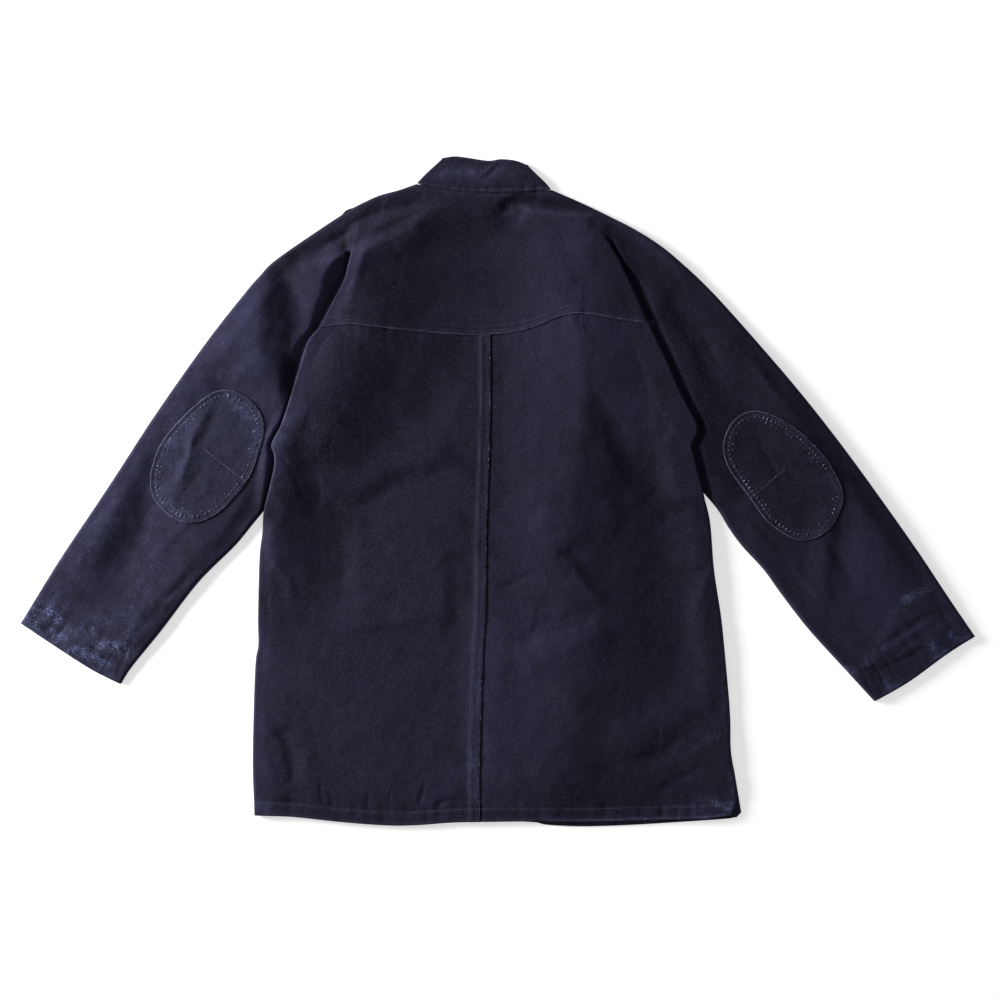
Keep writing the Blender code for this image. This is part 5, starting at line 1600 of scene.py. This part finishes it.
@dataclass
class ElbowPatch:
    """Oval elbow patch with its edge turned in and one dart."""

    side: Side
    steps: int = PATCH_STEPS
    thick: float = 1.0
    stitch_in: float = 4.6
    gathers_in: float = 7.4

    @property
    def node(self) -> str:
        """Name of the solid that the piece stands for."""
        return f"elbow_patch_{self.side.hand}"

    @property
    def edge(self) -> Array:
        """The patch's closed outline."""
        points = OUTLINE[f"patch_{self.side.hand}"]
        loop = np.array(points[-2:] + points + points[:3], dtype=float)
        dense = smooth_line(loop, 12)
        return dense[24:24 + 12 * len(points) + 1]

    def face(self, plan: Array) -> Array:
        """Upper face of the patch.

        Args:
            plan: Plan points.

        Returns:
            The height at each point.
        """
        lift = PATCH_LIFT + PATCH_CLOTH
        inside = nearness(plan, self.edge)[0]
        run = np.arctan2(plan[..., 1] - self.middle[1], plan[..., 0] - self.middle[0]) * 75.0
        gather = puckers(run, 81 + self.side.value, 13.0, 2.6) * bump(inside - 5.0, 6.0)
        dart, _, passed = nearness(plan, rail(f"dart_{self.side.hand}"))
        sunk = bump(dart, 1.4) * ease((1.0 - passed) / 0.15 + 0.4)
        roll = np.sqrt(np.clip(1.0 - (1.0 - np.clip(inside / 1.6, 0.0, 1.0))**2, 0.0, 1.0))
        proud = lift * (0.25 + 0.75 * roll) + 0.15 * bump(inside - 3.0, 2.0)
        return (sleeve_face(plan) + proud + groove(inside - self.stitch_in, 0.3, 1.2)
                - 0.3 * gather + 0.25 * bump(dart - 2.4, 1.6) - 0.4 * sunk)

    @property
    def middle(self) -> Array:
        """Middle of the patch."""
        return self.edge[:-1].mean(axis=0)

    def ring(self, inside: float) -> Array:
        """Closed line that runs inside the edge at a distance."""
        return offset(self.edge, -inside)

    def plan(self) -> Array:
        """Plan points of the patch: a square grid rounded to its outline."""
        t = np.linspace(-1.0, 1.0, self.steps)
        x, y = np.meshgrid(t, t, indexing="ij")
        u, v = x * np.sqrt(1.0 - y * y / 2.0), y * np.sqrt(1.0 - x * x / 2.0)
        middle, edge = self.middle, self.edge[:-1]
        out = edge - middle
        angle = np.arctan2(out[:, 1], out[:, 0])
        order = np.argsort(angle)
        reach = np.interp(np.arctan2(v, u), angle[order], np.hypot(*out.T)[order], period=2 * np.pi)
        return middle + np.stack([u, v], axis=-1) * reach[..., None]

    def build(self) -> bpy.types.Object:
        """Build and dress the piece.

        Returns:
            The piece's object.
        """
        plan = self.plan()
        grid = solid(plan, self.face(plan))
        inside = nearness(plan, self.edge)[0]
        dart = nearness(plan, rail(f"dart_{self.side.hand}"))[0]
        wear = 0.95 * bump(inside - 0.3, 0.9) + 0.35 * bump(dart, 1.0) + 0.25 * bump(inside - 6.5, 3.0)
        return shell(f"{self.node}_cloth", grid, masks_of(plan, wear), PATCH_INDIGO, self.thick)


@dataclass
class FrontHalf:
    """Plain front with the front of its sleeve, flat on the surface under everything else."""

    side: Side
    cell: float = FRONT_CELL

    @property
    def node(self) -> str:
        """Name of the solid that the piece stands for."""
        return f"front_{self.side.hand}"

    def outline(self) -> Array:
        """Closed outline of the front, in order."""
        side, hand = self.side.value, self.side.hand
        outer, shoulder = rail(f"outer_{hand}"), rail(f"shoulder_{hand}")
        shoulder = shoulder if side < 0 else shoulder[::-1]
        corner = shoulder[-1]
        shoulder = shoulder[np.hypot(*(shoulder - corner).T) > NECK_CLEAR]
        seam = rail("neck_seam")
        seam = seam if side < 0 else seam[::-1]
        middle = OUTLINE["back_seam"][0][0] - side * SEAM_LAP / 2.0
        clear = np.hypot(*(seam - corner).T) > NECK_CLEAR
        neck = seam[(side * (seam[:, 0] - middle) > 0.0) & clear] - np.array([0.0, NECK_DROP])
        hem = rail(f"front_hem_{hand}")[::-1]
        hem[0, 0] = OUTLINE["back_seam"][-1][0] - side * SEAM_LAP / 2.0
        if side < 0:
            edge = rail("side_left")[::-1]
            edge = edge[edge[:, 1] < ARMPIT_Y[side] - 1.0][3:] + np.array([1.0, 0.0])
        else:
            edge = rail("front_side_right")[::-1]
        runs = [outer, shoulder, neck, np.vstack([[[middle, neck[-1, 1]]], hem[:1]]), hem, edge,
                rail(f"inner_{hand}")[::-1], rail(f"cuff_{hand}")[::-1]]
        loop = np.vstack([spaced(run, self.cell) for run in runs])
        apart = np.hypot(*(loop - np.roll(loop, 1, axis=0)).T)
        return loop[apart > 2.0]

    def build(self) -> bpy.types.Object:
        """Build and dress the piece.

        Returns:
            The piece's object.
        """
        loop = self.outline()
        low, high = loop.min(axis=0), loop.max(axis=0)
        inner = np.stack(np.meshgrid(np.arange(low[0], high[0], self.cell),
                                     np.arange(low[1], high[1], self.cell)), axis=-1).reshape(-1, 2)
        inner = inner[nearness(inner, np.vstack([loop, loop[:1]]))[0] > 0.6 * self.cell]
        points = [Vector(point) for point in np.vstack([loop, inner])]
        filled = delaunay_2d_cdt(points, [], [list(range(len(loop)))], 1, 1e-4)
        made = bmesh.new()
        verts = [made.verts.new((*point, 0.0)) for point in filled[0]]
        for corners in filled[2]:
            made.faces.new([verts[k] for k in corners])
        for vert in [vert for vert in made.verts if not vert.link_faces]:
            made.verts.remove(vert)
        bmesh.ops.recalc_face_normals(made, faces=made.faces[:])
        made.normal_update()
        if sum(face.normal.z for face in made.faces) < 0.0:
            bmesh.ops.reverse_faces(made, faces=made.faces[:])
        mesh = mesh_of(made, f"{self.node}_cloth")
        plan = mesh_points(mesh)[:, :2].astype(float)
        edge = nearness(plan, np.vstack([loop, loop[:1]]))[0]
        points = np.column_stack([plan, np.full(len(plan), FRONT_TOP)])
        return cloth_piece(mesh, points, masks_of(plan, 0.4 * bump(edge, 3.0)), plan * MM, INDIGO,
                           CLOTH)


@dataclass
class Stitches:
    """Rows of sewing, each stitch a small thread that sinks in at both ends.

    Laid across the row, they are the small gathers beside it whose dye is rubbed off.
    """

    name: str
    rows: tuple
    proud: float = 0.12
    long: float = STITCH_LONG
    step: float = STITCH_STEP
    thick: float = STITCH_THICK
    uneven: float = 0.15
    across: bool = False
    finish: ThreadFinish = THREAD

    def build(self) -> bpy.types.Object:
        """Build and dress the rows.

        Returns:
            The object that holds them all.
        """
        made = bmesh.new()
        draw = np.random.default_rng(len(self.name))
        for line, face in self.rows:
            middles = spaced(line, self.step)
            gap = np.gradient(middles, axis=0)
            if self.across:
                gap = np.stack([-gap[:, 1], gap[:, 0]], axis=-1)
            heights = face(middles)
            ends = [face(middles + sign * 0.2 * gap) for sign in (-1.0, 1.0)]
            sizes = 1.0 - self.uneven * draw.uniform(0.0, 1.0, len(middles))
            for k, (point, lead) in enumerate(zip(middles, gap)):
                far = float(np.hypot(*lead))
                rise = (ends[1][k] - ends[0][k]) / (0.4 * far)
                ahead = Vector((*(lead / far), rise)).normalized()
                turn = ahead.to_track_quat("X", "Z").to_matrix().to_4x4()
                where = (Vector((*point, heights[k] + self.proud)) - Vector(MIDDLE)) * MM
                half = 0.5 * MM * sizes[k]
                scale = Matrix.Diagonal((self.long * half, self.thick * half, self.thick * half, 1.0))
                bmesh.ops.create_uvsphere(made, u_segments=6, v_segments=5, radius=1.0,
                                          matrix=Matrix.Translation(where) @ turn @ scale)
        mesh = mesh_of(made, self.name)
        mesh.shade_smooth()
        return placed(self.name, mesh, self.finish.build())


def offset(line: Array, distance: float) -> Array:
    """A line moved sideways, to its left where the distance is above 0."""
    ahead = np.gradient(line, axis=0)
    ahead /= np.hypot(*ahead.T)[:, None]
    return line + distance * np.stack([-ahead[:, 1], ahead[:, 0]], axis=-1)


def inner_run(line: Array, first: float, last: float) -> Array:
    """The part of a line between two fractions of its length."""
    return along(line, np.linspace(first, last, 120))


def sewing() -> tuple:
    """All rows of stitches, by the piece that they go with.

    Returns:
        Stitches objects, still to be built.
    """
    yoke_row = inner_run(YOKE_SEAM + np.array([0.0, YOKE_STITCH]), 0.01, 0.99)
    seam = rail("back_seam")
    centre = [(inner_run(seam - np.array([off, 0.0]), 0.004, 0.996), back_face(-1))
              for off in (0.5 * FELLED_BAND, FELLED_BAND)]
    hems = [(inner_run(rail("hem_left") + np.array([0.0, HEM_BAND]), 0.02, 0.997), back_face(-1)),
            (inner_run(rail("hem_right") + np.array([0.0, HEM_BAND]), 0.03, 0.997), back_face(1))]
    cuffs = [(inner_run(offset(rail("cuff_left"), CUFF_BAND), 0.03, 0.97), sleeve_face),
             (inner_run(offset(rail("cuff_right"), -CUFF_BAND), 0.03, 0.97), sleeve_face)]
    rows = [Stitches("yoke_stitches", ((yoke_row, yoke_face),)),
            Stitches("centre_back_stitches", tuple(centre)),
            Stitches("hem_stitches", tuple(hems)), Stitches("cuff_stitches", tuple(cuffs))]
    collar = Collar()
    neck = inner_run(rail("neck_seam") + np.array([0.0, collar.stitch_above]), 0.03, 0.97)
    rows.append(Stitches("collar_stitches", ((neck, collar.seam_face),)))
    for side in Side:
        patch = ElbowPatch(side)
        dart = inner_run(rail(f"dart_{side.hand}") + np.array([0.4, 0.8]), 0.0, 0.97)
        rows.append(Stitches(f"patch_stitches_{side.hand}",
                             ((patch.ring(patch.stitch_in), patch.face),)))
        rows.append(Stitches(f"patch_edge_{side.hand}", ((patch.ring(0.9), patch.face),),
                             long=3.4, step=2.9, thick=0.85, uneven=0.45, finish=BEADS))
        rows.append(Stitches(f"patch_dart_{side.hand}", ((dart, patch.face),),
                             long=3.2, step=3.0, thick=1.1, uneven=0.4, finish=BEADS))
        rows.append(Stitches(f"patch_gathers_{side.hand}",
                             ((patch.ring(patch.gathers_in), patch.face),),
                             long=4.2, step=5.4, thick=2.1, uneven=0.75, across=True, finish=BEADS))
        rows.append(Stitches(f"patch_far_gathers_{side.hand}",
                             ((patch.ring(patch.gathers_in + 4.6), patch.face),),
                             long=3.4, step=7.3, thick=1.7, uneven=1.0, across=True, finish=BEADS))
    rows.append(Stitches("yoke_seam_edge", ((inner_run(YOKE_SEAM + np.array([0.0, 0.9]), 0.02, 0.98),
                                             yoke_face),),
                         long=3.4, step=3.2, thick=0.7, uneven=0.9, finish=BEADS))
    rows.append(Stitches("centre_seam_edge", ((inner_run(seam - np.array([0.8, 0.0]), 0.004, 0.996),
                                               back_face(-1)),),
                         long=3.6, step=3.4, thick=0.6, uneven=0.95, finish=BEADS))
    return tuple(rows)


@dataclass
class Studio:
    """Floor, light and camera."""

    look_at: tuple = (0.00275, -0.0106)
    camera_height: float = 2.951
    lens: float = 85.0
    key_power: float = 205.0
    key_far: float = 2.9
    key_azimuth: float = 163.0
    key_elevation: float = 16.0
    ambient: float = 0.24
    floor_glow: float = 0.55

    def build(self) -> None:
        """Lay the floor, hang the light and set the camera over the jacket."""
        self.floor()
        self.light()
        self.camera()

    def floor(self) -> None:
        """Plain white floor, well past the camera's view."""
        made = bmesh.new()
        bmesh.ops.create_grid(made, x_segments=1, y_segments=1, size=3.0)
        finish, board, shader = bare_material("white_floor")
        board.fill(shader, {"Base Color": (0.8, 0.8, 0.8, 1.0), "Emission Color": (1.0, 1.0, 1.0, 1.0),
                            "Emission Strength": self.floor_glow, "Roughness": 0.9,
                            "Specular IOR Level": 0.1})
        placed("floor", mesh_of(made, "floor"), finish)

    def light(self) -> None:
        """One large soft light low on the left, and an even surround."""
        lamp = bpy.data.lights.new("window_side", "AREA")
        lamp.shape = "RECTANGLE"
        lamp.size = 1.3
        lamp.size_y = 0.9
        lamp.energy = self.key_power
        hung = bpy.data.objects.new("window_side", lamp)
        turn, lift = math.radians(self.key_azimuth), math.radians(self.key_elevation)
        way = Vector((math.cos(turn) * math.cos(lift), math.sin(turn) * math.cos(lift),
                      math.sin(lift)))
        hung.location = way * self.key_far
        hung.rotation_euler = way.to_track_quat("Z", "Y").to_euler()
        bpy.context.scene.collection.objects.link(hung)
        world = bpy.data.worlds.new("even_surround")
        world.use_nodes = True
        sky = world.node_tree.nodes["Background"]
        sky.inputs["Color"].default_value = (1.0, 1.0, 1.0, 1.0)
        sky.inputs["Strength"].default_value = self.ambient
        bpy.context.scene.world = world
        bpy.context.scene.view_settings.view_transform = "Standard"

    def camera(self) -> None:
        """Camera straight above, at the photograph's framing."""
        lens = bpy.data.cameras.new("camera")
        lens.lens = self.lens
        lens.sensor_width = 36.0
        camera = bpy.data.objects.new("camera", lens)
        camera.location = (*self.look_at, self.camera_height)
        bpy.context.scene.collection.objects.link(camera)
        bpy.context.scene.camera = camera


class Cut(NamedTuple):
    """Flat size of the cloth that shows, in metres, its area and what it lies on."""

    flat: tuple
    area: float
    rests_on: tuple


CUTS = {
    "yoke_and_sleeves": Cut((1.64, 0.36), 0.30, ("front_left", "front_right")),
    "back_left": Cut((0.31, 0.64), 0.19, ("front_left",)),
    "back_right": Cut((0.31, 0.64), 0.19, ("front_right",)),
    "collar": Cut((0.30, 0.042), 0.0115, ("front_left", "front_right")),
    "elbow_patch_left": Cut((0.125, 0.185), 0.0175, ("yoke_and_sleeves",)),
    "elbow_patch_right": Cut((0.125, 0.185), 0.0175, ("yoke_and_sleeves",)),
    "front_left": Cut((0.61, 0.80), 0.30, ()),
    "front_right": Cut((0.61, 0.80), 0.30, ()),
}


def main() -> None:
    """Build every piece, tie it to the frame and report it."""
    logging.basicConfig(level=logging.INFO, format="%(message)s")
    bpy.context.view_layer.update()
    parts = [FrontHalf(Side.LEFT), FrontHalf(Side.RIGHT), YokeAndSleeves(), BackHalf(Side.LEFT),
             BackHalf(Side.RIGHT), Collar(), ElbowPatch(Side.LEFT), ElbowPatch(Side.RIGHT)]
    for part in parts:
        piece = part.build()
        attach(piece, "root")
        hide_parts(part.node)
        cut = CUTS[part.node]
        list(cut.rests_on)
        LOG.info("%s: %d points", piece.name, len(piece.data.vertices))
    for rows in sewing():
        piece = rows.build()
        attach(piece, "root")
        "patch_cotton" if "patch" in piece.name else "indigo_cotton"
        LOG.info("%s: %d points", piece.name, len(piece.data.vertices))
    Studio().build()


if __name__ == "__main__":
    main()
